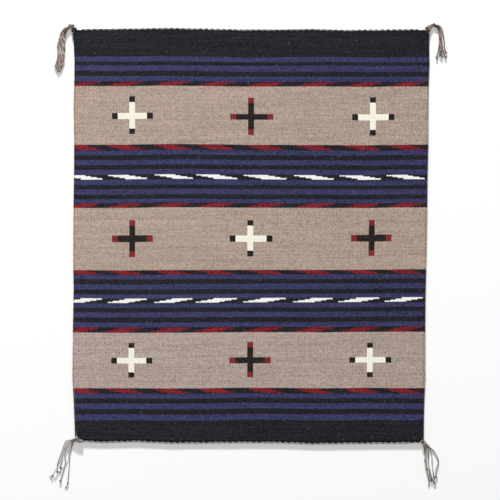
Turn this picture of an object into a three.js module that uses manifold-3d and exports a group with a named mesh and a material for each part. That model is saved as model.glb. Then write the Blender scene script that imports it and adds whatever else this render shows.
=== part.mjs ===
// A hand-woven wool rug lying flat with its face up. Millimetres, +Z up.
// X runs across the rug and Y along its warps, towards the top end of the pattern.
// The parts are one woven panel, a twined cord along each end, a two-ply cord down
// each side, and a knotted tassel of loose strands at each corner.

import * as THREE from 'three';
import { mergeVertices } from 'three/addons/utils/BufferGeometryUtils.js';
import Module from 'manifold-3d';

const wasm = await Module();
wasm.setup();

// Driving sizes
const CLOTH_THICK = 3.2;
const CORD_WIDTH = 2.8;
const FIT_GAP = 0.3;
const END_TWIST = 12.7;       // length of one bump on an end cord, four warps
const SIDE_TWIST = 11.7;      // length of one bump on a side cord
const BUMP_RISE = 1.05;       // a bump's height as a share of the cord's width
const WAIST_WIDTH = 0.72;     // the cord's width between two bumps, as a share
const WAIST_RISE = 0.76;
const PLY_SLANT = 0.9;        // how far a ply runs on along the cord as it crosses it
const STRAND_WIDTH = 2.3;
const STRAND_STEP = 9;        // length of one straight piece of a strand
const KNOT_RADIUS = 2.2;
const KNOT_HEIGHT = 3.6;
const CROSSING_REACH = 18;    // from a crossing to where the upper strand is down again
const TAIL_WIDTH = 0.6;       // the tip of a strand's tail, as a share of its width
const LUMP_SIDES = 9;
const KNOT_SIDES = 6;
const CORNER_MARGIN = 2;      // the least length of straight edge beside a rounded corner

// The rug's edge, a row for each change of direction. The sides lean in towards the foot.
const SIDES = [
  { y: 446, left: -385.6, right: 386.9 },
  { y: 420, left: -382.0, right: 385.2 },
  { y: 375, left: -380.2, right: 386.2 },
  { y: 335, left: -380.0, right: 385.3 },
  { y: 283, left: -381.7, right: 385.3 },
  { y: 197, left: -380.2, right: 384.6 },
  { y: 128, left: -381.2, right: 383.0 },
  { y: 42, left: -382.8, right: 382.6 },
  { y: -62, left: -382.9, right: 380.6 },
  { y: -114, left: -381.2, right: 379.0 },
  { y: -183, left: -383.2, right: 378.3 },
  { y: -252, left: -384.3, right: 378.6 },
  { y: -304, left: -384.9, right: 378.6 },
  { y: -356, left: -381.9, right: 376.0 },
  { y: -390, left: -380.6, right: 374.5 },
  { y: -446, left: -378.7, right: 374.0 },
];
const ENDS = [
  { x: -386, top: 445.6, bottom: -441.0 },
  { x: -316, top: 446.0, bottom: -444.7 },
  { x: -247, top: 446.8, bottom: -442.8 },
  { x: -178, top: 448.0, bottom: -446.3 },
  { x: -109, top: 446.7, bottom: -446.0 },
  { x: -23, top: 444.7, bottom: -445.0 },
  { x: 64, top: 444.7, bottom: -445.4 },
  { x: 133, top: 445.8, bottom: -448.2 },
  { x: 202, top: 443.7, bottom: -447.0 },
  { x: 288, top: 444.5, bottom: -446.5 },
  { x: 387, top: 445.8, bottom: -445.3 },
];

// The four corners: where each lies, how round the cloth is there, how far from it the
// cords begin, and its tassel. A lump's u and v count outwards from the corner of the
// rug. A strand's points are [x, y] from the corner, in the order in which the yarn runs.
// A crossing is the share of the strand's length at which it passes over its neighbour,
// and 0 where none does.
const CORNERS = [
  {
    name: 'tassel_top_left', x: -385.6, y: 445.6, right: -1, up: 1, round: 6, clear: 6.2,
    lumps: [
      { u: -2.0, v: -2.0, radius: 3.6, height: 3.8 },
      { u: -0.9, v: 3.2, radius: 3.2, height: 4.2 },
      { u: -0.9, v: 8.0, radius: 4.9, height: 6.0 },
      { u: 4.6, v: 9.0, radius: 3.8, height: 5.0 },
    ],
    strands: [
      { root: [-2, 9.6], shoulder: [-17.4, 2.8], waist: [-30.9, -30], knee: [-30.4, -56],
        knot: [-36.4, -78], tail: [-40.4, -82.5], crossing: 0 },
      { root: [-3, 9.0], shoulder: [-15.8, 1.0], waist: [-27.9, -30], knee: [-27.7, -56],
        knot: [-33.4, -83], tail: [-36.0, -89.0], crossing: 0 },
      { root: [-3, 8.4], shoulder: [-14.2, -0.6], waist: [-24.9, -30], knee: [-25.0, -56],
        knot: [-30.4, -90.5], tail: [-32.5, -95.5], crossing: 0 },
      { root: [-4, 7.8], shoulder: [-12.6, -2.2], waist: [-21.9, -30], knee: [-22.3, -56],
        knot: [-25.4, -89], tail: [-24.4, -94.5], crossing: 0 },
      { root: [-4, 7.2], shoulder: [-11.0, -3.6], waist: [-18.7, -30], knee: [-19.5, -56],
        knot: [-21.4, -84], tail: [-18.8, -89.0], crossing: 0 },
      { root: [-4, 6.6], shoulder: [-9.4, -5.0], waist: [-15.4, -30], knee: [-16.7, -56],
        knot: [-18.2, -77.5], tail: [-14.8, -81.5], crossing: 0 },
    ],
  },
  {
    name: 'tassel_top_right', x: 386.9, y: 445.8, right: 1, up: 1, round: 6, clear: 6.2,
    lumps: [
      { u: -2.0, v: -2.0, radius: 3.6, height: 3.8 },
      { u: -0.7, v: 5.4, radius: 5.2, height: 6.4 },
      { u: 4.4, v: 9.2, radius: 3.8, height: 5.2 },
      { u: 9.6, v: 11.0, radius: 3.4, height: 4.4 },
    ],
    strands: [
      { root: [7, 9.6], shoulder: [17.8, -1.6], waist: [20.3, -28.6], knee: [18.8, -42.6],
        knot: [14.4, -58.6], tail: [16.7, -66.0], crossing: 0 },
      { root: [7, 10.4], shoulder: [20.5, 0.2], waist: [23.1, -28.6], knee: [22.3, -42.6],
        knot: [21.2, -57.0], tail: [20.6, -62.5], crossing: 0 },
      { root: [8, 11.2], shoulder: [23.0, 2.2], waist: [25.9, -28.6], knee: [25.3, -42.6],
        knot: [27.2, -59.6], tail: [28.0, -65.0], crossing: 0 },
      { root: [9, 11.8], shoulder: [25.4, 4.2], waist: [28.7, -28.6], knee: [28.4, -42.6],
        knot: [34.3, -59.6], tail: [37.2, -64.4], crossing: 0 },
      { root: [10, 12.4], shoulder: [27.8, 5.8], waist: [32.4, -26.6], knee: [31.5, -39.0],
        knot: [34.8, -48.6], tail: [39.4, -47.6], crossing: 0 },
    ],
  },
  {
    name: 'tassel_bottom_left', x: -379.0, y: -441.0, right: -1, up: -1, round: 14.4, clear: 8.8,
    lumps: [
      { u: -3.2, v: -2.8, radius: 5.1, height: 6.2 },
      { u: 2.2, v: -1.6, radius: 3.6, height: 5.0 },
      { u: 6.0, v: -0.4, radius: 3.0, height: 4.0 },
    ],
    strands: [
      { root: [-4, 1.2], shoulder: [-18.8, -1.0], waist: [-28.8, -25.5], knee: [-37.5, -49.5],
        knot: [-38.4, -67.2], tail: [-31.2, -70.4], crossing: 0 },
      { root: [-4, 0.4], shoulder: [-16.6, -6.0], waist: [-25.4, -27.5], knee: [-33.6, -49.5],
        knot: [-49.0, -76.4], tail: [-55.4, -79.2], crossing: 0.77 },
      { root: [-4, -0.4], shoulder: [-14.6, -11.6], waist: [-22.2, -30.0], knee: [-20.6, -48.5],
        knot: [-31.8, -87.2], tail: [-28.2, -93.2], crossing: 0 },
      { root: [-3, -1.0], shoulder: [-11.4, -16.4], waist: [-17.2, -30.5], knee: [-26.4, -44.0],
        knot: [-31.6, -58.6], tail: [-28.8, -63.6], crossing: 0.63 },
      { root: [-3, -1.8], shoulder: [-8.0, -17.0], waist: [-11.6, -33.4], knee: [-13.2, -63.4],
        knot: [-15.6, -92.0], tail: [-21.4, -102.2], crossing: 0 },
    ],
  },
  {
    name: 'tassel_bottom_right', x: 374.0, y: -445.2, right: 1, up: -1, round: 8, clear: 5.8,
    lumps: [
      { u: -1.6, v: -1.6, radius: 3.6, height: 4.2 },
      { u: 2.4, v: 2.2, radius: 4.0, height: 5.4 },
      { u: 6.8, v: 6.6, radius: 3.9, height: 5.0 },
    ],
    strands: [
      { root: [-2.4, -2.2], shoulder: [1.9, -16.2], waist: [2.0, -40.2], knee: [8.0, -66.2],
        knot: [11.8, -83.0], tail: [9.4, -94.0], crossing: 0 },
      { root: [1.6, -3.0], shoulder: [5.0, -16.2], waist: [5.2, -39.2], knee: [11.2, -65.2],
        knot: [16.6, -80.6], tail: [17.6, -86.6], crossing: 0 },
      { root: [5.6, -5.2], shoulder: [10.2, -18.2], waist: [9.8, -44.2], knee: [14.6, -66.2],
        knot: [22.0, -86.0], tail: [27.4, -93.2], crossing: 0 },
      { root: [7.4, -6.6], shoulder: [15.6, -18.2], waist: [18.2, -46.2], knee: [20.2, -64.2],
        knot: [22.6, -75.0], tail: [23.6, -80.4], crossing: 0 },
      { root: [7.4, -6.0], shoulder: [22.8, -20.0], waist: [31.8, -41.2], knee: [26.6, -59.2],
        knot: [28.8, -73.2], tail: [32.0, -77.6], crossing: 0 },
    ],
  },
];

const [topLeft, topRight, bottomLeft, bottomRight] = CORNERS;

const yarn = (name, color, roughness) =>
  new THREE.MeshStandardMaterial({ name, color, roughness, metalness: 0 });

// The value in one column of an edge table at a place along it, in straight lines
function edgeAt(table, key, column, place) {
  const rising = table[0][key] < table[1][key];
  const rows = rising ? table : [...table].reverse();
  const last = rows.length - 2;
  let i = 0;
  while (i < last && rows[i + 1][key] < place) i += 1;
  const share = (place - rows[i][key]) / (rows[i + 1][key] - rows[i][key]);
  return THREE.MathUtils.lerp(rows[i][column], rows[i + 1][column], share);
}

// A closed body through rings of equal point counts, each a convex outline that runs
// anticlockwise as seen looking back along the path
function loft(rings) {
  const count = rings[0].length;
  const points = rings.flat();
  const faces = [];
  for (let r = 0; r + 1 < rings.length; r += 1) {
    for (let k = 0; k < count; k += 1) {
      const next = (k + 1) % count;
      const a = r * count + k;
      const b = r * count + next;
      faces.push([a, b, b + count], [a, b + count, a + count]);
    }
  }
  const end = (rings.length - 1) * count;
  for (let k = 1; k + 1 < count; k += 1) {
    faces.push([0, k + 1, k], [end, end + k, end + k + 1]);
  }
  const geometry = new THREE.BufferGeometry();
  geometry.setFromPoints(points);
  geometry.setIndex(faces.flat());
  return geometry;
}

// The panel: the rug's edge drawn in by the width of the cords, with rounded corners
function clothShape() {
  const inset = CORD_WIDTH + FIT_GAP;
  const side = (right, y) => edgeAt(SIDES, 'y', right > 0 ? 'right' : 'left', y) - right * inset;
  const end = (up, x) => edgeAt(ENDS, 'x', up > 0 ? 'top' : 'bottom', x) - up * inset;
  const arc = (corner, from) => {
    const centreX = side(corner.right, corner.y - corner.up * (inset + corner.round))
      - corner.right * corner.round;
    const centreY = end(corner.up, centreX) - corner.up * corner.round;
    return [0, 30, 60, 90].map((turn) => {
      const angle = THREE.MathUtils.degToRad(from - turn);
      return new THREE.Vector2(centreX + corner.round * Math.cos(angle),
        centreY + corner.round * Math.sin(angle));
    });
  };
  const reach = (corner) => inset + corner.round + CORNER_MARGIN;
  const between = (table, key, low, high) => table.map((row) => row[key])
    .filter((place) => place > low[key] + reach(low) && place < high[key] - reach(high))
    .sort((a, b) => a - b);
  return new THREE.Shape([
    ...between(SIDES, 'y', bottomLeft, topLeft).map((y) => new THREE.Vector2(side(-1, y), y)),
    ...arc(topLeft, 180),
    ...between(ENDS, 'x', topLeft, topRight).map((x) => new THREE.Vector2(x, end(1, x))),
    ...arc(topRight, 90),
    ...between(SIDES, 'y', bottomRight, topRight).reverse()
      .map((y) => new THREE.Vector2(side(1, y), y)),
    ...arc(bottomRight, 0),
    ...between(ENDS, 'x', bottomLeft, bottomRight).reverse()
      .map((x) => new THREE.Vector2(x, end(-1, x))),
    ...arc(bottomLeft, -90),
  ]);
}

function wovenCloth() {
  return new THREE.ExtrudeGeometry(clothShape(), { depth: CLOTH_THICK, bevelEnabled: false });
}

// A two-ply cord with a flat bed. Two slanted rings make each bump: a full one where a
// ply comes to the top, and a drawn-in one where the plies change over.
function twistedCord(centreAt, alongX, from, to, twist) {
  const bumps = Math.round((to - from) / twist);
  const rings = [];
  for (let i = 0; i <= bumps * 2; i += 1) {
    const place = THREE.MathUtils.lerp(from, to, i / (bumps * 2));
    const full = i % 2 === 1;
    const half = CORD_WIDTH / 2 * (full ? 1 : WAIST_WIDTH);
    const height = CORD_WIDTH * (full ? BUMP_RISE : WAIST_RISE);
    const slant = i === 0 || i === bumps * 2 ? 0 : PLY_SLANT;
    const section = [[-0.75, 0], [0.75, 0], [1, 0.45], [0, 1], [-1, 0.45]];
    rings.push(section.map(([side, rise]) => {
      const offset = side * half;
      const along = place + offset * slant;
      const centre = centreAt(along);
      return alongX
        ? new THREE.Vector3(along, centre + offset, rise * height)
        : new THREE.Vector3(centre - offset, along, rise * height);
    }));
  }
  return loft(rings);
}

function endCord(column, inward, leftCorner, rightCorner) {
  const centreAt = (x) => edgeAt(ENDS, 'x', column, x) + inward * CORD_WIDTH / 2;
  return twistedCord(centreAt, true, leftCorner.x + leftCorner.clear,
    rightCorner.x - rightCorner.clear, END_TWIST);
}

function sideCord(column, inward, bottomCorner, topCorner) {
  const centreAt = (y) => edgeAt(SIDES, 'y', column, y) + inward * CORD_WIDTH / 2;
  return twistedCord(centreAt, false, bottomCorner.y + bottomCorner.clear,
    topCorner.y - topCorner.clear, SIDE_TWIST);
}

// A knot or lump of yarn with a flat bed
function bead(x, y, radius, height, sides) {
  const profile = [[0, 0], [0.72, 0], [1, 0.42], [0.68, 0.86], [0, 1]]
    .map(([share, rise]) => new THREE.Vector2(share * radius, rise * height));
  return new THREE.LatheGeometry(profile, sides).rotateX(Math.PI / 2).translate(x, y, 0);
}

// A loose strand on the floor: a four-sided yarn on a flat bed that climbs over the
// strand it crosses, runs through its end knot and thins out in a short tail
function strand(corner, row) {
  const named = [row.root, row.shoulder, row.waist, row.knee, row.knot];
  const route = new THREE.CatmullRomCurve3(
    named.map(([x, y]) => new THREE.Vector3(corner.x + x, corner.y + y, 0)), false, 'centripetal');
  const length = route.getLength();
  const steps = Math.round(length / STRAND_STEP);
  const stations = route.getSpacedPoints(steps);
  stations.push(new THREE.Vector3(corner.x + row.tail[0], corner.y + row.tail[1], 0));
  const rings = stations.map((centre, i) => {
    const before = stations[Math.max(i - 1, 0)];
    const after = stations[Math.min(i + 1, stations.length - 1)];
    const along = after.clone().sub(before).normalize();
    const side = new THREE.Vector3(-along.y, along.x, 0);
    const away = Math.abs(i / steps - row.crossing) * length / CROSSING_REACH;
    const share = row.crossing > 0 ? THREE.MathUtils.clamp(2 - 2 * away, 0, 1) : 0;
    const rise = (STRAND_WIDTH + 2 * FIT_GAP) * share;
    const half = STRAND_WIDTH / 2 * (i === stations.length - 1 ? TAIL_WIDTH : 1);
    return [[-1, 0], [1, 0], [0.7, 1], [-0.7, 1]].map(([across, up]) =>
      centre.clone().addScaledVector(side, across * half)
        .add(new THREE.Vector3(0, 0, rise + up * 2 * half)));
  });
  return loft(rings);
}

function asSolid(geometry) {
  geometry.deleteAttribute('normal');
  geometry.deleteAttribute('uv');
  const merged = mergeVertices(geometry, 1e-4);
  return new wasm.Manifold(new wasm.Mesh({
    numProp: 3,
    vertProperties: new Float32Array(merged.attributes.position.array),
    triVerts: new Uint32Array(merged.index.array),
  }));
}

function fromSolid(solid) {
  const mesh = solid.getMesh();
  const geometry = new THREE.BufferGeometry();
  geometry.setAttribute('position', new THREE.BufferAttribute(mesh.vertProperties, 3));
  geometry.setIndex(new THREE.BufferAttribute(mesh.triVerts, 1));
  geometry.computeVertexNormals();
  return geometry;
}

// One tassel: the lumps of its head and all its strands and end knots, grown together
function tassel(corner) {
  const pieces = corner.lumps.map((lump) => bead(corner.x + corner.right * lump.u,
    corner.y + corner.up * lump.v, lump.radius, lump.height, LUMP_SIDES));
  for (const row of corner.strands) {
    pieces.push(strand(corner, row));
    pieces.push(bead(corner.x + row.knot[0], corner.y + row.knot[1],
      KNOT_RADIUS, KNOT_HEIGHT, KNOT_SIDES));
  }
  return fromSolid(pieces.map(asSolid).reduce((whole, piece) => whole.add(piece)));
}

const clothYarn = yarn('tapestry wool', 0xb09e91, 0.95);
const cordYarn = yarn('twined cord', 0x968a82, 0.9);

const rug = new THREE.Group();
const lay = (name, geometry, material) => {
  const mesh = new THREE.Mesh(geometry, material.clone());
  mesh.name = name;
  rug.add(mesh);
};

lay('woven_cloth', wovenCloth(), clothYarn);
lay('end_cord_top', endCord('top', -1, topLeft, topRight), cordYarn);
lay('end_cord_bottom', endCord('bottom', 1, bottomLeft, bottomRight), cordYarn);
lay('side_cord_left', sideCord('left', 1, bottomLeft, topLeft), cordYarn);
lay('side_cord_right', sideCord('right', -1, bottomRight, topRight), cordYarn);
for (const corner of CORNERS) lay(corner.name, tassel(corner), cordYarn);

// The origin is under the middle of the whole outline, tassels included
const middle = new THREE.Box3().setFromObject(rug).getCenter(new THREE.Vector3());
rug.position.set(-middle.x, -middle.y, 0);

export default rug;
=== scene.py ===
"""Looks for a hand-woven wool rug that lies flat with its face up.

The rug is one weft-faced tapestry panel with a twined cord along each end, a selvage cord
down each side and a knotted tassel of loose strands at each corner. Each of them stands
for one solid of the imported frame. Sizes are millimetres from the middle of the woven rug,
X across it and Y along its warps, and turn into the frame's metres as a mesh is finished.
"""

import logging
import math
from dataclasses import dataclass
from enum import Enum

import bmesh
import bpy
import numpy as np
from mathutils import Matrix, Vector

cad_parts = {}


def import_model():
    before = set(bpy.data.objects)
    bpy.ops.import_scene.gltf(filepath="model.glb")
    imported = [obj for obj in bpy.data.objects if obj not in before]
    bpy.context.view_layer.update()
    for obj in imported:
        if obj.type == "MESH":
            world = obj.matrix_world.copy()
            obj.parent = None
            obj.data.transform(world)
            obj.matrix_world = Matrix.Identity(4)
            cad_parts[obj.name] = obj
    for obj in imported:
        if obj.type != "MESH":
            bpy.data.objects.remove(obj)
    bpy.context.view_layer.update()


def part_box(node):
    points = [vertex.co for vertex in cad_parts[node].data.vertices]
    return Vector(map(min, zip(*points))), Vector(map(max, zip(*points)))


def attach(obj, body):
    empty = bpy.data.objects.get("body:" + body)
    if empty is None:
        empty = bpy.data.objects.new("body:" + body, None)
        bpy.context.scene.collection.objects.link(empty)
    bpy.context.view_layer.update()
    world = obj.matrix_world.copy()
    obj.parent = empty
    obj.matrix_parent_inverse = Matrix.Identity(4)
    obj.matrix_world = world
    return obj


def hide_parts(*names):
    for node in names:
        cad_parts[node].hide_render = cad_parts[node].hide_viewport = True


MM = 0.001
WEAVE_MAP = "Weave"  # U counts warps from the left edge, V is millimetres along them
YARN_MAP = "Yarn"  # U is millimetres along a yarn, V goes once around it
WEAR_AND_RIM_SHADE = "WearAndRimShade"  # 0 on clean yarn, more the darker that handling has made it; at the cloth's ends it holds how much painted shade they get
PLY_OFFSET = 0.24  # from the middle of a cord to that of a ply, as a share of its width
PLY_RADIUS = 0.27

log = logging.getLogger("rug")


class Band(Enum):
    """What the weaver fills one stripe of the chart with."""

    BLACK = "black"
    BLUE = "blue"
    TAN = "tan"
    SLANTS = "red slants on black"
    LOZENGES = "white lozenges on black"


# The chart, read down from the top edge: each stripe and its height
CHART_TOP = 445.6
CHART = (
    (Band.BLACK, 58.7),
    (Band.BLUE, 11.0), (Band.BLACK, 8.7), (Band.BLUE, 12.1), (Band.BLACK, 11.0),
    (Band.BLUE, 11.2), (Band.SLANTS, 9.9),
    (Band.TAN, 125.8),
    (Band.SLANTS, 11.9), (Band.BLUE, 10.3), (Band.BLACK, 10.1), (Band.BLUE, 10.9),
    (Band.BLACK, 9.9), (Band.BLUE, 11.2), (Band.LOZENGES, 11.5), (Band.BLUE, 10.8),
    (Band.BLACK, 8.4), (Band.BLUE, 11.7), (Band.BLACK, 10.1), (Band.BLUE, 8.5),
    (Band.SLANTS, 10.4),
    (Band.TAN, 133.9),
    (Band.SLANTS, 10.4), (Band.BLUE, 9.9), (Band.BLACK, 9.8), (Band.BLUE, 11.7),
    (Band.BLACK, 10.1), (Band.BLUE, 9.8), (Band.LOZENGES, 10.0), (Band.BLUE, 9.8),
    (Band.BLACK, 9.4), (Band.BLUE, 10.5), (Band.BLACK, 11.1), (Band.BLUE, 10.2),
    (Band.SLANTS, 11.6),
    (Band.TAN, 119.7),
    (Band.SLANTS, 12.0), (Band.BLUE, 10.3), (Band.BLACK, 10.6), (Band.BLUE, 12.0),
    (Band.BLACK, 11.7), (Band.BLUE, 12.9), (Band.BLACK, 60.0),
)

# Both motifs are charted in warps, in the row where they start furthest to the left. The
# first of each is cut off by the left edge.
SLANT_STARTS = (-8.5, 21.5, 53.2, 83.2, 116.5, 149.8, 182.3, 212.3)
SLANT_RUN = 15.4
SLANT_SHIFT = 11.6
SLANT_LEVELS = 6
SLANT_BLEND = 0.55  # how much of the level next to the blue is another yarn
SLANT_JOG = 2.4  # how much further one row of floats reaches than the next, in warps
LOZENGES = (  # start and run
    (-8.0, 14.8), (23.2, 14.8), (54.6, 14.0), (83.2, 16.2), (115.0, 17.4), (149.4, 15.0),
    (180.0, 15.8), (212.0, 15.4),
)
LOZENGE_STEP = 4
LOZENGE_LEVELS = 4
LOZENGE_HIGH = 9.4
LOZENGE_RISE = 0.9  # how far above the middle of their stripe they are

FLOAT_LENGTH = 1.46  # one float of weft along a warp, which covers two picks
SCALLOP = 12.66  # four warps

LATER_TAN_FROM = -150.0  # below this height the tan is of another lot
PAINTED_LIGHT_FALLOFF = 0.34  # painted light: how much lighter a yarn is painted at the left edge than at the right, times its unevenness


@dataclass(frozen=True)
class Cross:
    """One cross in a tan field: its middle, how far it reaches and which yarns it has."""

    warp: float
    height: float
    reach_up: float
    reach_down: float
    reach_across: float  # warps
    arm_high: float
    white: bool  # a white cross with dark ends, or a dark one with red ends
    end_high: float = 12.0  # of the ends of its post
    arm_aside: float = 0.0  # how far its arm lies to the right, in warps


CROSSES = (
    Cross(40, 259.0, 41.9, 38.9, 14.0, 13.0, True),
    Cross(120, 257.8, 41.2, 38.8, 14.5, 12.8, False, arm_aside=0.5),
    Cross(202, 257.3, 43.4, 39.3, 14.5, 12.6, True, arm_aside=0.5),
    Cross(40, -4.9, 40.0, 39.0, 14.0, 14.6, False),
    Cross(120, -5.1, 40.1, 38.2, 14.5, 13.5, True, arm_aside=0.5),
    Cross(202, -4.0, 39.6, 38.6, 14.0, 14.4, False),
    Cross(40, -267.2, 38.3, 36.1, 14.0, 12.4, True, 10.9),
    Cross(120, -267.6, 39.7, 36.5, 14.0, 13.7, False, 11.2),
    Cross(202, -266.6, 36.3, 37.6, 14.5, 11.8, True, 10.9, 0.5),
)
POST_WARPS = 4  # the width of each cross's post
END_WARPS = 4  # the length of the ends of its arm


@dataclass(frozen=True)
class Strand:
    """One loose strand: points in the order in which it runs, counted from its corner."""

    root: tuple[float, float]
    shoulder: tuple[float, float]
    waist: tuple[float, float]
    knee: tuple[float, float]
    knot: tuple[float, float]
    tail: tuple[float, float]
    crossing: float = 0.0  # share of its length at which it passes over another


@dataclass(frozen=True)
class Lump:
    """One turn of the knot at a corner, counted outwards from the corner."""

    u: float  # across the rug
    v: float  # along the warps
    radius: float
    height: float
    wear: float = 0.75


@dataclass(frozen=True)
class Corner:
    """A corner of the rug: its place, which way is outwards and the knot and strands on it."""

    name: str
    x: float
    y: float
    right: int
    up: int
    rounding: float  # the radius of the cloth's corner
    clear: float  # how far from the corner its edge cords start
    lumps: tuple[Lump, ...]
    strands: tuple[Strand, ...]
    entwined: tuple[tuple[int, int, float], ...] = ()  # two strands and their turns together


TOP_LEFT = Corner(
    "tassel_top_left", -385.6, 445.6, -1, 1, 6, 6.2,
    (
        Lump(-2.0, -2.0, 3.8, 4.2, 2.0), Lump(-7.4, 2.0, 3.6, 4.8, 2.6),
        Lump(-1.4, 3.6, 3.4, 4.4, 1.6), Lump(-0.9, 8.0, 4.9, 3.5), Lump(4.6, 9.0, 3.8, 3.2),
    ),
    (
        Strand((-2, 9.6), (-17.4, 2.8), (-30.9, -30), (-30.4, -56), (-35.8, -78), (-38.6, -80.8)),
        Strand((-3, 9.0), (-16.6, 1.4), (-27.9, -30), (-27.7, -56), (-33.0, -83), (-35.0, -87)),
        Strand((-3, 8.4), (-15.7, 0.0), (-24.9, -30), (-25.0, -56), (-30.2, -89), (-31.4, -93)),
        Strand((-4, 7.8), (-14.8, -1.4), (-21.9, -30), (-22.3, -56), (-26.6, -88), (-26.0, -92.5)),
        Strand((-4, 7.2), (-13.8, -2.8), (-18.7, -30), (-19.5, -56), (-23.4, -83), (-21.6, -87)),
        Strand((-4, 6.6), (-12.7, -4.2), (-15.4, -30), (-16.7, -56), (-20.8, -77), (-18.2, -80.5)),
    ),
    ((0, 1, 1.5), (2, 3, 1.0), (4, 5, 1.5)),
)
TOP_RIGHT = Corner(
    "tassel_top_right", 386.9, 445.8, 1, 1, 6, 6.2,
    (
        Lump(-2.0, -2.0, 3.6, 3.8, 1.4), Lump(-6.4, 3.2, 4.2, 4.4, 1.0),
        Lump(-0.7, 5.6, 5.6, 3.4, 0.5), Lump(4.4, 9.2, 3.8, 2.8), Lump(9.2, 11.2, 3.6, 2.6, 1.2),
    ),
    (
        Strand((7, 9.6), (18.0, 2.0), (20.1, -28.6), (18.8, -42.6), (14.6, -58.6), (16.7, -66.0)),
        Strand((7, 10.4), (19.4, 3.1), (22.3, -28.6), (22.0, -42.6), (22.4, -54.8), (21.0, -58.6)),
        Strand((8, 11.2), (20.8, 4.2), (24.5, -28.6), (25.0, -42.6), (26.6, -57.6), (27.8, -61.6)),
        Strand((9, 11.8), (22.2, 5.3), (26.8, -28.6), (28.0, -42.6), (33.8, -57.6), (36.6, -61.6)),
        Strand((10, 12.4), (23.8, 6.5), (31.4, -26.6), (31.4, -39.0), (34.8, -48.6),
               (39.0, -47.6)),
    ),
    ((0, 1, 1.0), (2, 3, 0.5)),
)
BOTTOM_LEFT = Corner(
    "tassel_bottom_left", -379.0, -441.0, -1, -1, 14.4, 8.8,
    (
        Lump(-3.2, -2.8, 5.4, 4.6), Lump(-9.0, 0.4, 4.4, 4.8, 0.7),
        Lump(-14.0, 0.6, 3.8, 4.8, 0.5), Lump(2.2, -1.6, 3.8, 4.0),
        Lump(6.0, -0.4, 3.2, 3.6, 0.6),
    ),
    (
        Strand((-4, 1.2), (-18.8, -1.0), (-28.8, -25.5), (-37.5, -49.5), (-38.4, -67.2),
               (-31.2, -70.4)),
        Strand((-4, 0.4), (-16.6, -6.0), (-25.4, -27.5), (-33.6, -49.5), (-49.0, -76.4),
               (-55.4, -79.2), 0.77),
        Strand((-4, -0.4), (-14.6, -11.6), (-22.2, -30.0), (-20.6, -48.5), (-31.8, -87.2),
               (-28.2, -93.2)),
        Strand((-3, -1.0), (-11.4, -16.4), (-17.2, -30.5), (-26.4, -44.0), (-31.6, -58.6),
               (-28.8, -63.6), 0.63),
        Strand((-3, -1.8), (-8.0, -17.0), (-11.6, -33.4), (-13.2, -63.4), (-15.6, -92.0),
               (-21.4, -102.2)),
    ),
)
BOTTOM_RIGHT = Corner(
    "tassel_bottom_right", 374.0, -445.2, 1, -1, 8, 5.8,
    (
        Lump(-1.6, -1.6, 4.4, 4.2, 1.1), Lump(2.4, 2.2, 5.0, 4.8, 0.5),
        Lump(6.8, 6.6, 4.4, 4.4, 0.7),
    ),
    (
        Strand((-2.4, -2.2), (1.9, -16.2), (2.0, -40.2), (8.0, -66.2), (11.8, -83.0),
               (9.4, -94.0)),
        Strand((1.6, -3.0), (5.0, -16.2), (5.2, -39.2), (11.2, -65.2), (16.6, -80.6),
               (17.6, -86.6)),
        Strand((5.6, -5.2), (10.2, -18.2), (9.8, -44.2), (14.6, -66.2), (22.0, -86.0),
               (27.4, -93.2)),
        Strand((7.4, -6.6), (15.6, -18.2), (18.2, -46.2), (20.2, -64.2), (22.6, -75.0),
               (23.6, -80.4)),
        Strand((7.4, -6.0), (22.8, -20.0), (31.8, -41.2), (26.6, -59.2), (26.4, -74.0),
               (30.0, -78.4)),
    ),
    ((0, 1, 1.0),),
)


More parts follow.
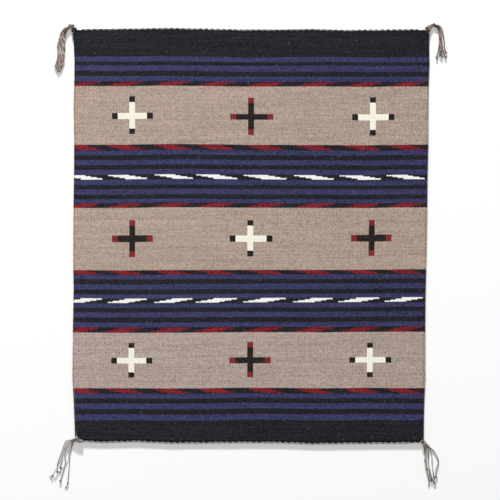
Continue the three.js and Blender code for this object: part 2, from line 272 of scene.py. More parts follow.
@dataclass(frozen=True)
class RugPlan:
    """The rug's outline and the run of its warps and stripes, as lines through a few points."""

    warps: int = 240
    warp_pitch: float = 3.165
    edge_width: float = 3.1  # the part of the outline that a cord takes up
    side_y: tuple[float, ...] = (-446, -390, -356, -304, -252, -183, -114, -62, 42, 128, 197,
                                 283, 335, 375, 420, 446)
    side_left: tuple[float, ...] = (-378.7, -380.6, -381.9, -384.9, -384.3, -383.4, -382.0,
                                    -383.1, -382.8, -381.4, -381.0, -382.5, -380.6, -380.2,
                                    -382.0, -385.6)
    side_right: tuple[float, ...] = (374.0, 374.3, 375.2, 377.4, 377.4, 377.3, 378.1, 379.4,
                                     381.4, 382.1, 383.8, 384.2, 384.8, 386.4, 385.7, 386.9)
    end_x: tuple[float, ...] = (-386, -316, -247, -178, -109, -23, 64, 133, 202, 288, 387)
    end_top: tuple[float, ...] = (445.6, 446.0, 446.8, 448.0, 446.7, 444.7, 444.7, 445.8,
                                  443.7, 444.5, 445.8)
    end_bottom: tuple[float, ...] = (-441.0, -444.7, -442.8, -446.3, -446.0, -445.0, -445.4,
                                     -448.2, -447.0, -446.5, -445.3)
    # Three warps between the edges, each followed down the rug
    guide_y: tuple[float, ...] = (-268, -5, 258)
    guide_warps: tuple[float, ...] = (39.9, 120, 202)
    guide_left: tuple[float, ...] = (-257.6, -255.6, -255.9)
    guide_middle: tuple[float, ...] = (-0.6, -0.6, 1.3)
    guide_right: tuple[float, ...] = (257.5, 261.6, 264.4)
    # How far the stripes of the four groups stand above their places at the middle
    wave_x: tuple[float, ...] = (-360, -273, -187, -100, -14, 72, 159, 245, 332)
    wave_y: tuple[float, ...] = (-370, -134, 127, 355)
    waves: tuple[tuple[float, ...], ...] = (
        (-1.4, -1.0, -1.8, -1.8, 0.0, -0.7, -1.6, -0.4, -1.6),
        (-0.4, -1.5, -0.9, -0.4, 0.0, 0.4, 0.2, 1.1, 1.9),
        (-0.9, -0.2, 1.3, 1.1, 0.0, -0.4, -0.9, -1.5, 0.2),
        (1.5, 1.0, 2.2, 1.1, 0.0, 0.0, 0.6, -0.4, 0.1),
    )

    def left(self, y: np.ndarray) -> np.ndarray:
        """X of the rug's left edge at these heights."""
        return np.interp(y, self.side_y, self.side_left)

    def right(self, y: np.ndarray) -> np.ndarray:
        """X of the rug's right edge at these heights."""
        return np.interp(y, self.side_y, self.side_right)

    def top(self, x: np.ndarray) -> np.ndarray:
        """Y of the rug's top end at these places across it."""
        return np.interp(x, self.end_x, self.end_top)

    def bottom(self, x: np.ndarray) -> np.ndarray:
        """Y of the rug's bottom end at these places across it."""
        return np.interp(x, self.end_x, self.end_bottom)

    def warp_places(self, warps: np.ndarray, y: float,
                    drawn_in: tuple[float, float]) -> np.ndarray:
        """Where these warps cross one height.

        Args:
            warps: Counts from the left edge of the cloth.
            y: The height.
            drawn_in: How far the left and the right edge are drawn in there.

        Returns:
            Their X.
        """
        places = (
            self.left(y) + self.edge_width + drawn_in[0],
            np.interp(y, self.guide_y, self.guide_left),
            np.interp(y, self.guide_y, self.guide_middle),
            np.interp(y, self.guide_y, self.guide_right),
            self.right(y) - self.edge_width - drawn_in[1],
        )
        return np.interp(warps, (0, *self.guide_warps, self.warps), places)

    def wave(self, x: np.ndarray, y: np.ndarray) -> np.ndarray:
        """How far a stripe stands above its place in the chart.

        Args:
            x: Places across the rug.
            y: Heights, as many.

        Returns:
            The rise of the stripe at each.
        """
        across = np.stack([np.interp(x, self.wave_x, row) for row in self.waves])
        place = np.interp(y, self.wave_y, range(len(self.wave_y)))
        low = np.clip(np.floor(place).astype(int), 0, len(self.wave_y) - 2)
        share = place - low
        columns = np.arange(len(across[0]))
        return across[low, columns] * (1 - share) + across[low + 1, columns] * share


PLAN = RugPlan()


def frame_shift() -> Vector:
    """Reads from the frame where the middle of the woven rug lies in it.

    Returns:
        What to add to a place in millimetres before it is turned into metres.
    """
    end_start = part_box("end_cord_top")[0].x
    side_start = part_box("side_cord_left")[0].y
    return Vector((
        end_start / MM - (TOP_LEFT.x + TOP_LEFT.clear),
        side_start / MM - (BOTTOM_LEFT.y + BOTTOM_LEFT.clear),
        0.0,
    ))


def mesh_places(mesh: bpy.types.Mesh) -> np.ndarray:
    """Reads where a mesh's vertices are.

    Args:
        mesh: The mesh.

    Returns:
        Rows of X, Y and Z.
    """
    places = np.empty(len(mesh.vertices) * 3, np.float32)
    mesh.vertices.foreach_get("co", places)
    return places.reshape(-1, 3).astype(float)


def set_places(mesh: bpy.types.Mesh, places: np.ndarray) -> None:
    """Moves a mesh's vertices to these rows of X, Y and Z."""
    mesh.vertices.foreach_set("co", places.astype(np.float32).ravel())
    mesh.update()


def set_map(mesh: bpy.types.Mesh, name: str, values: np.ndarray) -> None:
    """Writes one UV map from a pair of values for each vertex.

    Args:
        mesh: The mesh.
        name: The map's name. It is made if the mesh has none of that name.
        values: U and V for each vertex.
    """
    layer = mesh.uv_layers.get(name) or mesh.uv_layers.new(name=name)
    corners = np.empty(len(mesh.loops), np.int32)
    mesh.loops.foreach_get("vertex_index", corners)
    layer.uv.foreach_set("vector", values[corners].astype(np.float32).ravel())


def finish_piece(name: str, mesh: bpy.types.Mesh, node: str,
                 finish: bpy.types.Material, shift: Vector) -> bpy.types.Object:
    """Turns a mesh in millimetres into a dressed piece of the frame.

    Args:
        name: The piece's name.
        mesh: Its mesh, counted from the middle of the woven rug.
        node: The node of the frame that it stands for.
        finish: Its material.
        shift: What frame_shift says.

    Returns:
        The object, riding on the frame.
    """
    places = mesh_places(mesh)
    set_places(mesh, (places + np.array(shift)) * MM)
    mesh.polygons.foreach_set("use_smooth", [True] * len(mesh.polygons))
    mesh.materials.append(finish)
    piece = bpy.data.objects.new(name, mesh)
    bpy.context.scene.collection.objects.link(piece)
    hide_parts(node)
    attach(piece, "root")
    log.info("%s: %d faces for %s", name, len(mesh.polygons), node)
    return piece


def along(path: np.ndarray) -> np.ndarray:
    """The length of a path up to each of its points."""
    steps = np.linalg.norm(np.diff(path, axis=0), axis=1)
    return np.concatenate([[0.0], np.cumsum(steps)])


def respaced(path: np.ndarray, step: float) -> np.ndarray:
    """The same path with its points evenly apart.

    Args:
        path: Rows of X, Y and Z.
        step: The distance that the points should have.

    Returns:
        Rows of X, Y and Z.
    """
    length = along(path)
    count = max(3, round(length[-1] / step) + 1)
    places = np.linspace(0, length[-1], count)
    return np.stack([np.interp(places, length, path[:, axis]) for axis in range(3)], axis=1)


def sides_of(path: np.ndarray) -> tuple[np.ndarray, np.ndarray]:
    """Finds two directions square to a path at each point, carried along without a twist.

    Args:
        path: Rows of X, Y and Z.

    Returns:
        The directions to its side and over it, as rows.
    """
    ahead = np.gradient(path, axis=0)
    ahead /= np.linalg.norm(ahead, axis=1)[:, None]
    first = np.cross((0, 0, 1), ahead[0])
    if np.linalg.norm(first) < 0.1:
        first = np.array((1.0, 0, 0))
    across = [first / np.linalg.norm(first)]
    for heading in ahead[1:]:
        turned = across[-1] - heading * (across[-1] @ heading)
        across.append(turned / np.linalg.norm(turned))
    across = np.array(across)
    return across, np.cross(ahead, across)


def smooth_route(points: list[tuple[float, float]], per_leg: int = 24) -> np.ndarray:
    """A flat curve through a few points that keeps close to them on uneven legs.

    Args:
        points: The points, in order.
        per_leg: How many points the curve gets between two of them.

    Returns:
        Rows of X and Y.
    """
    given = [np.array(p, float) for p in points]
    given = [2 * given[0] - given[1], *given, 2 * given[-1] - given[-2]]
    route = []
    for before, start, end, after in zip(given, given[1:], given[2:], given[3:]):
        gaps = [math.sqrt(np.linalg.norm(b - a))
                for a, b in ((before, start), (start, end), (end, after))]
        leaving = ((start - before) / gaps[0] - (end - before) / (gaps[0] + gaps[1])
                   + (end - start) / gaps[1]) * gaps[1]
        coming = ((end - start) / gaps[1] - (after - start) / (gaps[1] + gaps[2])
                  + (after - end) / gaps[2]) * gaps[1]
        for t in np.arange(per_leg) / per_leg:
            route.append(
                (2 * t**3 - 3 * t**2 + 1) * start + (t**3 - 2 * t**2 + t) * leaving
                + (3 * t**2 - 2 * t**3) * end + (t**3 - t**2) * coming
            )
    return np.array([*route, given[-2]])


class Spool:
    """Collects round yarns in one mesh. Each starts as a flat grid that is rolled up."""

    def __init__(self) -> None:
        """Starts with no yarn on it."""
        self.bm = bmesh.new()
        self.bm.loops.layers.uv.new(YARN_MAP)
        self.bm.verts.layers.float.new(WEAR_AND_RIM_SHADE)

    def wind(self, path: np.ndarray, radius: np.ndarray | float, sides: int,
             wear: np.ndarray | float = 0.0) -> None:
        """Adds one yarn with closed ends.

        Args:
            path: Rows of X, Y and Z that its middle follows.
            radius: Its radius, or one for each point.
            sides: How many sides it has.
            wear: How dark handling has made it, or one value for each point.
        """
        count = len(path)
        radii = np.broadcast_to(np.asarray(radius, float), count).copy()
        wear_and_shade = np.broadcast_to(np.asarray(wear, float), count)
        radii[0] = radii[-1] = 0.0
        across, over = sides_of(path)
        length = along(path)
        bm = bmesh.new()
        bm.loops.layers.uv.new(YARN_MAP)
        layer = bm.verts.layers.float.new(WEAR_AND_RIM_SHADE)
        bmesh.ops.create_grid(bm, x_segments=count - 1, y_segments=sides, size=0.5,
                              calc_uvs=True)
        station = {}
        for vert in bm.verts:
            i = round((vert.co.x + 0.5) * (count - 1))
            turn = (vert.co.y + 0.5) * 2 * math.pi
            out = math.cos(turn) * across[i] + math.sin(turn) * over[i]
            vert.co = path[i] + radii[i] * out
            vert[layer] = wear_and_shade[i]
            station[vert.index] = i
        uv = bm.loops.layers.uv[YARN_MAP]
        for face in bm.faces:
            for loop in face.loops:
                place = loop[uv].uv
                loop[uv].uv = (length[round(place.x * (count - 1))], place.y)
        bmesh.ops.remove_doubles(bm, verts=bm.verts[:], dist=1e-5)
        bmesh.ops.recalc_face_normals(bm, faces=bm.faces[:])
        wound = bpy.data.meshes.new("wound")
        bm.to_mesh(wound)
        bm.free()
        self.bm.from_mesh(wound)
        bpy.data.meshes.remove(wound)

    def wind_plies(self, path: np.ndarray, width: float, pitch: float, sides: int,
                   wear: np.ndarray | float = 0.0, flat: float = 1.0) -> None:
        """Adds a cord of two plies twisted together.

        Args:
            path: Rows of X, Y and Z that its middle follows.
            width: The width of the cord.
            pitch: The length of one full turn.
            sides: How many sides each ply has.
            wear: How dark handling has made it.
            flat: How far the plies part upwards, as a share of sideways.
        """
        across, over = sides_of(path)
        turn = along(path) * 2 * math.pi / pitch
        for start in (0.0, math.pi):
            sideways = np.cos(turn + start)[:, None] * across
            upwards = np.sin(turn + start)[:, None] * over * flat
            self.wind(path + (sideways + upwards) * width * PLY_OFFSET, width * PLY_RADIUS,
                      sides, wear)

    def mesh(self, name: str) -> bpy.types.Mesh:
        """Ends the spool.

        Args:
            name: The mesh's name.

        Returns:
            Its mesh, still in millimetres.
        """
        made = bpy.data.meshes.new(name)
        self.bm.to_mesh(made)
        self.bm.free()
        return made


class Bench:
    """Sets and joins the shader nodes of one material."""

    def __init__(self, name: str) -> None:
        """Starts a material whose shader is a Principled one.

        Args:
            name: The material's name.
        """
        self.material = bpy.data.materials.new(name)
        self.material.use_nodes = True
        self.tree = self.material.node_tree
        self.shader = self.tree.nodes["Principled BSDF"]

    def feed(self, socket: bpy.types.NodeSocket, value: object) -> None:
        """Links a socket to another, or sets its value.

        Args:
            socket: The socket that takes it.
            value: The other socket, or a value.
        """
        if isinstance(value, bpy.types.NodeSocket):
            self.tree.links.new(value, socket)
        else:
            socket.default_value = value

    def node(self, kind: str, **settings: object) -> bpy.types.Node:
        """Adds a node.

        Args:
            kind: Its type.
            **settings: The settings that it gets.

        Returns:
            The node.
        """
        made = self.tree.nodes.new(kind)
        for name, value in settings.items():
            setattr(made, name, value)
        return made

    def math(self, operation: str, *values: object) -> bpy.types.NodeSocket:
        """Adds a Math node.

        Args:
            operation: What it works out.
            *values: What goes into it, in order.

        Returns:
            What comes out of it.
        """
        made = self.node("ShaderNodeMath", operation=operation)
        for socket, value in zip(made.inputs, values):
            self.feed(socket, value)
        return made.outputs[0]

    def add(self, *values: object) -> bpy.types.NodeSocket:
        """Adds several values up.

        Args:
            *values: The values.

        Returns:
            Their sum.
        """
        total = values[0]
        for value in values[1:]:
            total = self.math("ADD", total, value)
        return total

    def within(self, value: object, low: float, high: float) -> bpy.types.NodeSocket:
        """1 where a value lies between two limits, else 0."""
        return self.math("COMPARE", value, (low + high) / 2, (high - low) / 2)

    def both(self, first: object, second: object) -> bpy.types.NodeSocket:
        """1 where both masks are 1."""
        return self.math("MULTIPLY", first, second)

    def dome(self, share: object) -> bpy.types.NodeSocket:
        """A round rise from 0 at both ends of a share to 1 at its middle."""
        side = self.math("ABSOLUTE", self.math("MULTIPLY_ADD", share, 2.0, -1.0))
        return self.math("SUBTRACT", 1.0, self.math("POWER", side, 2.0))

    def mix(self, share: object, below: object, above: object) -> bpy.types.NodeSocket:
        """Lays one colour over another.

        Args:
            share: How much the upper one covers.
            below: The lower colour.
            above: The upper colour.

        Returns:
            The mixed colour.
        """
        made = self.node("ShaderNodeMix", data_type="RGBA", clamp_factor=True)
        self.feed(made.inputs[0], share)
        self.feed(made.inputs[6], below)
        self.feed(made.inputs[7], above)
        return made.outputs[2]

    def shade(self, colour: object, factor: object) -> bpy.types.NodeSocket:
        """Makes a colour lighter or darker.

        Args:
            colour: The colour.
            factor: What it is multiplied by.

        Returns:
            The new colour.
        """
        made = self.node("ShaderNodeVectorMath", operation="SCALE")
        self.feed(made.inputs[0], colour)
        self.feed(made.inputs["Scale"], factor)
        return made.outputs[0]

    def pair(self, x: object, y: object) -> bpy.types.NodeSocket:
        """Makes a vector of two values.

        Args:
            x: The first one.
            y: The second one.

        Returns:
            The vector.
        """
        made = self.node("ShaderNodeCombineXYZ")
        self.feed(made.inputs[0], x)
        self.feed(made.inputs[1], y)
        return made.outputs[0]

    def grain(self, vector: object, scale: float, detail: float = 2.0) -> bpy.types.NodeSocket:
        """Smooth noise, about 0.5 in the mean.

        Args:
            vector: The place.
            scale: How fine it is.
            detail: How many finer layers it has.

        Returns:
            The noise there.
        """
        made = self.node("ShaderNodeTexNoise", noise_dimensions="2D")
        self.feed(made.inputs["Vector"], vector)
        made.inputs["Scale"].default_value = scale
        made.inputs["Detail"].default_value = detail
        return made.outputs[0]

    def chance(self, vector: object) -> bpy.types.NodeSocket:
        """Picks a value from 0 to 1 by chance.

        Args:
            vector: Each vector has its own value, always the same.

        Returns:
            The value.
        """
        made = self.node("ShaderNodeTexWhiteNoise", noise_dimensions="2D")
        self.feed(made.inputs["Vector"], vector)
        return made.outputs[0]

    def wear_and_shade(self) -> bpy.types.NodeSocket:
        """How dark handling has made the yarn, and how much painted shade the cloth's ends get."""
        return self.node("ShaderNodeAttribute", attribute_name=WEAR_AND_RIM_SHADE).outputs["Fac"]

    def coordinates(self, map_name: str) -> tuple[bpy.types.NodeSocket, bpy.types.NodeSocket]:
        """Reads one of the piece's maps.

        Args:
            map_name: The map's name.

        Returns:
            U and V.
        """
        split = self.node("ShaderNodeSeparateXYZ")
        self.feed(split.inputs[0], self.node("ShaderNodeUVMap", uv_map=map_name).outputs[0])
        return split.outputs[0], split.outputs[1]

    def bump(self, height: object, deep: float, strength: float) -> None:
        """Raises the surface.

        Args:
            height: The height, from 0 to 1.
            deep: How high 1 is, in metres.
            strength: How strongly it shows.
        """
        made = self.node("ShaderNodeBump")
        made.inputs["Strength"].default_value = strength
        made.inputs["Distance"].default_value = deep
        self.feed(made.inputs["Height"], height)
        self.feed(self.shader.inputs["Normal"], made.outputs[0])

    def matt(self, roughness: object, gloss: float, sheen: float, sheen_roughness: float) -> None:
        """Makes the surface as matt as wool.

        Args:
            roughness: Its roughness.
            gloss: Its specular level.
            sheen: How much its fibres shine against the light.
            sheen_roughness: How wide that shine is.
        """
        self.feed(self.shader.inputs["Roughness"], roughness)
        self.shader.inputs["Specular IOR Level"].default_value = gloss
        self.shader.inputs["Sheen Weight"].default_value = sheen
        self.shader.inputs["Sheen Roughness"].default_value = sheen_roughness


LIGHT_LEVEL = 1.21  # how bright a white surface is in the scene's light


def dyed(red: int, green: int, blue: int) -> tuple[float, float, float, float]:
    """A yarn's own colour from the colour that it shows in the light.

    Args:
        red: Its red, from 0 to 255.
        green: Its green.
        blue: Its blue.

    Returns:
        The colour for a shader.
    """
    shown = [value / 255 for value in (red, green, blue)]
    linear = [v / 12.92 if v <= 0.04045 else ((v + 0.055) / 1.055) ** 2.4 for v in shown]
    return (*(value / LIGHT_LEVEL for value in linear), 1.0)


@dataclass(frozen=True)
class Wool:
    """One of the weaving yarns: its colour, and how much one float differs from the next, which
    also scales its painted light falloff.
    """

    colour: tuple[float, float, float, float]
    uneven: float


BLACK_WOOL = Wool(dyed(34, 33, 40), 0.69)
BLUE_WOOL = Wool(dyed(59, 60, 99), 0.46)
TAN_WOOL = Wool(dyed(180, 161, 147), 0.26)
LATER_TAN_WOOL = Wool(dyed(179, 162, 153), 0.26)  # a cooler lot, used for the lowest field
WHITE_WOOL = Wool(dyed(255, 254, 251), 0.06)
CREAM_WOOL = Wool(dyed(255, 251, 236), -0.03)  # of the crosses, painted darker at the left where the others are painted lighter
BROWN_BLACK_WOOL = Wool(dyed(40, 34, 33), 0.6)  # of the crosses
RED_WOOL = Wool(dyed(131, 32, 43), 0.46)
DEEP_RED_WOOL = Wool(dyed(132, 44, 49), 0.21)  # of the crosses


@dataclass(frozen=True)
class TapestryFinish:
    """The woven face: the chart worked in wool, float by float."""

    name: str
    selvage: bool = False
    float_length: float = FLOAT_LENGTH
    # How much one float, each quarter of it and each run of yarn change its tone
    float_swing: float = 1.6
    quarter_swing: float = 2.4
    run_swing: float = 0.9
    run_warps: float = 42.0
    run_start: float = 7.0  # how many runs apart the runs of two rows start at most
    darkest: float = 0.12
    # Between the floats the wool lies in shade
    hollow: float = 0.66
    crown: float = 0.46  # how much lighter a float is at its middle
    rib_edge: float = 0.5  # the less, the narrower is the shade between two ribs
    bead_edge: float = 0.35
    # Painted shade along the cloth's ends, where the scallops meet the cords: how much it darkens
    # them
    rim_shade: float = -0.6
    lint_share: float = 0.0015  # floats with a pale fibre on them
    lint_cover: float = 0.16
    lint: tuple[float, float, float, float] = dyed(200, 196, 190)
    fibre_stretch: float = 3.0  # makes the fibres as fine across the warps as along them
    fibre_scale: float = 2.6
    fibre_relief: float = 0.35
    relief: float = 0.0004  # metres
    relief_strength: float = 0.55
    roughness: float = 0.88
    rougher: float = 0.1
    # Dark dashes painted along a side at a steady pitch
    dash_pitch: float = 4.6
    dash_share: float = 0.36
    dash_wobble: float = 0.2  # the scale of the noise that shifts them
    dash_cover: float = 0.4
    dash: tuple[float, float, float, float] = dyed(62, 52, 48)
    beside_dash: float = 1.12

    def make(self) -> bpy.types.Material:
        """Builds the material.

        Returns:
            It reads the weave map and the wear attribute, which holds the painted shade at the
            cloth's ends.
        """
        bench = Bench(self.name)
        u, v = bench.coordinates(WEAVE_MAP)
        warp = bench.math("FLOOR", u)
        offset = bench.math("MULTIPLY", bench.math("FLOORED_MODULO", warp, 2.0), 0.5)
        count = bench.math("ADD", bench.math("DIVIDE", v, self.float_length), offset)
        row = bench.math("FLOOR", count)
        warp_middle = bench.math("ADD", warp, 0.5)
        row_middle = bench.math("SUBTRACT", bench.math("ADD", row, 0.5), offset)
        height = bench.math("MULTIPLY", row_middle, self.float_length)
        colour, uneven = self.chart(bench, warp_middle, height)
        tone = self.tone(bench, u, warp, count, row, uneven)

        across = bench.math("FRACT", u)
        down = bench.math("FRACT", count)
        rib = bench.dome(across)
        bead = bench.dome(down)
        depth = bench.math("MULTIPLY", bench.math("POWER", rib, self.rib_edge),
                           bench.math("POWER", bead, self.bead_edge))
        lit = bench.math("MULTIPLY_ADD", depth, self.crown, self.hollow)
        colour = bench.shade(colour, bench.math("MULTIPLY", tone, lit))
        # Painted shade along the cloth's ends, where the wear attribute is above 0
        colour = bench.shade(colour, bench.math("MULTIPLY_ADD", bench.wear_and_shade(), self.rim_shade, 1.0))
        linty = bench.math("GREATER_THAN", bench.chance(bench.pair(row, warp)),
                           1 - self.lint_share)
        colour = bench.mix(bench.math("MULTIPLY", linty, self.lint_cover), colour, self.lint)
        if self.selvage:
            colour = self.side_dashes(bench, colour, v)
        bench.feed(bench.shader.inputs["Base Color"], colour)

        stretched = bench.math("MULTIPLY", u, self.fibre_stretch)
        fibres = bench.grain(bench.pair(stretched, v), self.fibre_scale, 3.0)
        relief = bench.math("ADD", bench.math("MULTIPLY", rib, bead),
                            bench.math("MULTIPLY", fibres, self.fibre_relief))
        bench.bump(relief, self.relief, self.relief_strength)
        bench.matt(bench.math("MULTIPLY_ADD", fibres, self.rougher, self.roughness),
                   gloss=0.1, sheen=0.02, sheen_roughness=0.6)
        return bench.material

    def tone(self, bench: Bench, u: object, warp: object, count: object, row: object,
             uneven: object) -> bpy.types.NodeSocket:
        """How much lighter or darker than its yarn each float is.

        Args:
            bench: The material's nodes.
            u: The place across the rug, in warps.
            warp: The number of the warp.
            count: The place along the warps, in floats.
            row: The number of the float.
            uneven: How much the yarn varies.

        Returns:
            A factor around 1, from the float, from the quarter of it, from the run of yarn that
            it belongs to and from a painted light falloff, lighter the further it is to the left.
        """
        single = bench.chance(bench.pair(warp, row))
        quarter = bench.chance(bench.pair(
            bench.math("FLOOR", bench.math("MULTIPLY", u, 2.0)),
            bench.math("FLOOR", bench.math("MULTIPLY", count, 2.0)),
        ))
        start = bench.math("MULTIPLY", bench.chance(bench.pair(row, 0.5)), self.run_start)
        run = bench.math("FLOOR", bench.math("MULTIPLY_ADD", u, 1 / self.run_warps, start))
        streak = bench.chance(bench.pair(run, row))
        swing = bench.add(
            bench.math("MULTIPLY", single, self.float_swing),
            bench.math("MULTIPLY", quarter, self.quarter_swing),
            bench.math("MULTIPLY", streak, self.run_swing),
            -(self.float_swing + self.quarter_swing + self.run_swing) / 2,
        )
        # Painted light: a falloff of the light across the rug, lighter towards the left edge
        side = bench.math("MULTIPLY_ADD", u, -PAINTED_LIGHT_FALLOFF / PLAN.warps, PAINTED_LIGHT_FALLOFF / 2)
        painted_falloff = bench.math("MULTIPLY", side, uneven)
        tone = bench.add(bench.math("MULTIPLY", swing, uneven), painted_falloff, 1.0)
        return bench.math("MAXIMUM", tone, self.darkest)

    def chart(self, bench: Bench, warp: object,
              height: object) -> tuple[bpy.types.NodeSocket, bpy.types.NodeSocket]:
        """Looks a float up in the chart.

        Args:
            bench: The material's nodes.
            warp: The middle of the float across the rug, in warps.
            height: Its middle along the warps.

        Returns:
            Its yarn's colour, and how uneven that yarn is.
        """
        plain = {Band.BLUE: [], Band.TAN: []}
        slant_rows = []
        lozenge_rows = []
        below = CHART_TOP
        for place, (band, high) in enumerate(CHART):
            above, below = below, below - high
            if band is Band.SLANTS:
                slant_rows.append((below, above, CHART[place - 1][0] is Band.TAN))
            elif band is Band.LOZENGES:
                middle = (below + above) / 2 + LOZENGE_RISE
                lozenge_rows.append((middle - LOZENGE_HIGH / 2, middle + LOZENGE_HIGH / 2,
                                     not lozenge_rows))
            elif band in plain:
                plain[band].append(bench.within(height, below, above))
        blue = bench.add(*plain[Band.BLUE])
        red = self.slants(bench, warp, height, slant_rows)
        white = self.lozenges(bench, warp, height, lozenge_rows)
        crossed, cream, cross_red = self.crosses(bench, warp, height)
        tan = bench.math("SUBTRACT", bench.add(*plain[Band.TAN]), crossed)
        later_tan = bench.both(tan, bench.math("LESS_THAN", height, LATER_TAN_FROM))
        colour, uneven = BLACK_WOOL.colour, BLACK_WOOL.uneven
        for mask, wool, under in (
            (blue, BLUE_WOOL, BLACK_WOOL),
            (tan, TAN_WOOL, BLACK_WOOL),
            (later_tan, LATER_TAN_WOOL, TAN_WOOL),
            (white, WHITE_WOOL, BLACK_WOOL),
            (crossed, BROWN_BLACK_WOOL, BLACK_WOOL),
            (cream, CREAM_WOOL, BROWN_BLACK_WOOL),
            (red, RED_WOOL, BLACK_WOOL),
            (cross_red, DEEP_RED_WOOL, BROWN_BLACK_WOOL),
        ):
            colour = bench.mix(mask, colour, wool.colour)
            step = bench.math("MULTIPLY", mask, wool.uneven - under.uneven)
            uneven = bench.math("ADD", step, uneven)
        return colour, uneven

    @staticmethod
    def stepped(bench: Bench, height: object, rows: list[tuple[float, float, bool]],
                steps: int) -> tuple[bpy.types.NodeSocket, bpy.types.NodeSocket]:
        """Counts the steps of a stepped motif.

        Args:
            bench: The material's nodes.
            height: The middle of the float along the warps.
            rows: For each row of motifs its lower and upper edge, and whether it is counted
                downwards from the upper one.
            steps: How many steps a row has.

        Returns:
            1 in the rows and 0 elsewhere, and the number of the step there.
        """
        inside = []
        counted = []
        for below, above, downwards in rows:
            mask = bench.within(height, below, above)
            step = (above - below) / steps
            away = bench.math("MULTIPLY_ADD", height, (-1 if downwards else 1) / step,
                              (above if downwards else -below) / step)
            inside.append(mask)
            counted.append(bench.both(mask, bench.math("FLOOR", away)))
        return bench.add(*inside), bench.add(*counted)

    def slants(self, bench: Bench, warp: object, height: object,
               rows: list[tuple[float, float, bool]]) -> bpy.types.NodeSocket:
        """The mask of the red slants, which lean away from the tan field that they touch.

        Args:
            bench: The material's nodes.
            warp: The middle of the float across the rug, in warps.
            height: Its middle along the warps.
            rows: For each row of slants its lower and upper edge, and whether it hangs down
                from its tan field.

        Returns:
            1 on a slant, less on its outermost level, 0 elsewhere.
        """
        inside, level = self.stepped(bench, height, rows, SLANT_LEVELS)
        # Every other warp has the middles of its floats on whole numbers, hence the quarter
        row = bench.math("FLOOR", bench.math("MULTIPLY_ADD", height, 1 / self.float_length, 0.25))
        every_other = bench.math("FLOORED_MODULO", row, 2.0)
        jogged = bench.math("MULTIPLY_ADD", every_other, SLANT_JOG,
                            bench.add(warp, -SLANT_JOG / 2))
        moved = bench.math("MULTIPLY_ADD", level, -SLANT_SHIFT / (SLANT_LEVELS - 1), jogged)
        runs = [bench.within(moved, start, start + SLANT_RUN) for start in SLANT_STARTS]
        outermost = bench.math("GREATER_THAN", level, SLANT_LEVELS - 1.5)
        full = bench.math("MULTIPLY_ADD", outermost, -SLANT_BLEND, 1.0)
        return bench.math("MULTIPLY", full, bench.both(inside, bench.add(*runs)))

    def lozenges(self, bench: Bench, warp: object, height: object,
                 rows: list[tuple[float, float, bool]]) -> bpy.types.NodeSocket:
        """The mask of the stepped white lozenges, which lean the other way in the second row.

        Args:
            bench: The material's nodes.
            warp: The middle of the float across the rug, in warps.
            height: Its middle along the warps.
            rows: For each row its lower and upper edge, and whether it steps to the right
                downwards.

        Returns:
            1 on a lozenge, 0 elsewhere.
        """
        inside, level = self.stepped(bench, height, rows, LOZENGE_LEVELS)
        moved = bench.math("MULTIPLY_ADD", level, -LOZENGE_STEP, warp)
        runs = [bench.within(moved, start, start + run) for start, run in LOZENGES]
        return bench.both(inside, bench.add(*runs))

    def crosses(self, bench: Bench, warp: object,
                height: object) -> tuple[bpy.types.NodeSocket, ...]:
        """The masks of the nine crosses.

        Args:
            bench: The material's nodes.
            warp: The middle of the float across the rug, in warps.
            height: Its middle along the warps.

        Returns:
            Where there is a cross, where it is cream and where it is red.
        """
        everywhere = []
        cream = []
        red = []
        for cross in CROSSES:
            whole = self.cross_shape(bench, warp, height, cross, 0, 0)
            core = self.cross_shape(bench, warp, height, cross, END_WARPS, cross.end_high)
            everywhere.append(whole)
            if cross.white:
                cream.append(core)
            else:
                red.append(bench.math("SUBTRACT", whole, core))
        return bench.add(*everywhere), bench.add(*cream), bench.add(*red)

    @staticmethod
    def cross_shape(bench: Bench, warp: object, height: object, cross: Cross,
                    short_arm: float, short_post: float) -> bpy.types.NodeSocket:
        """The mask of one cross.

        Args:
            bench: The material's nodes.
            warp: The middle of the float across the rug, in warps.
            height: Its middle along the warps.
            cross: The cross.
            short_arm: How many warps are left off each end of its arm.
            short_post: How much is left off each end of its post.

        Returns:
            1 on the cross, 0 elsewhere.
        """
        from_middle = [bench.math("ABSOLUTE", bench.math("SUBTRACT", warp, middle))
                       for middle in (cross.warp + cross.arm_aside, cross.warp)]
        arm = bench.both(
            bench.within(height, cross.height - cross.arm_high / 2,
                         cross.height + cross.arm_high / 2),
            bench.math("LESS_THAN", from_middle[0], cross.reach_across - short_arm),
        )
        post = bench.both(
            bench.math("LESS_THAN", from_middle[1], POST_WARPS / 2),
            bench.within(height, cross.height - cross.reach_down + short_post,
                         cross.height + cross.reach_up - short_post),
        )
        return bench.math("MAXIMUM", arm, post)

    def side_dashes(self, bench: Bench, colour: object, v: object) -> bpy.types.NodeSocket:
        """Paints dark dashes along a side.

        Args:
            bench: The material's nodes.
            colour: The colour of the weft.
            v: The place along the side, in millimetres.

        Returns:
            The colour with the dashes in it.
        """
        wobble = bench.grain(bench.pair(v, 0.5), self.dash_wobble, 1.0)
        count = bench.math("ADD", bench.math("DIVIDE", v, self.dash_pitch), wobble)
        dash = bench.math("LESS_THAN", bench.math("FRACT", count), self.dash_share)
        cover = bench.math("MULTIPLY", dash, self.dash_cover)
        return bench.mix(cover, bench.shade(colour, self.beside_dash), self.dash)


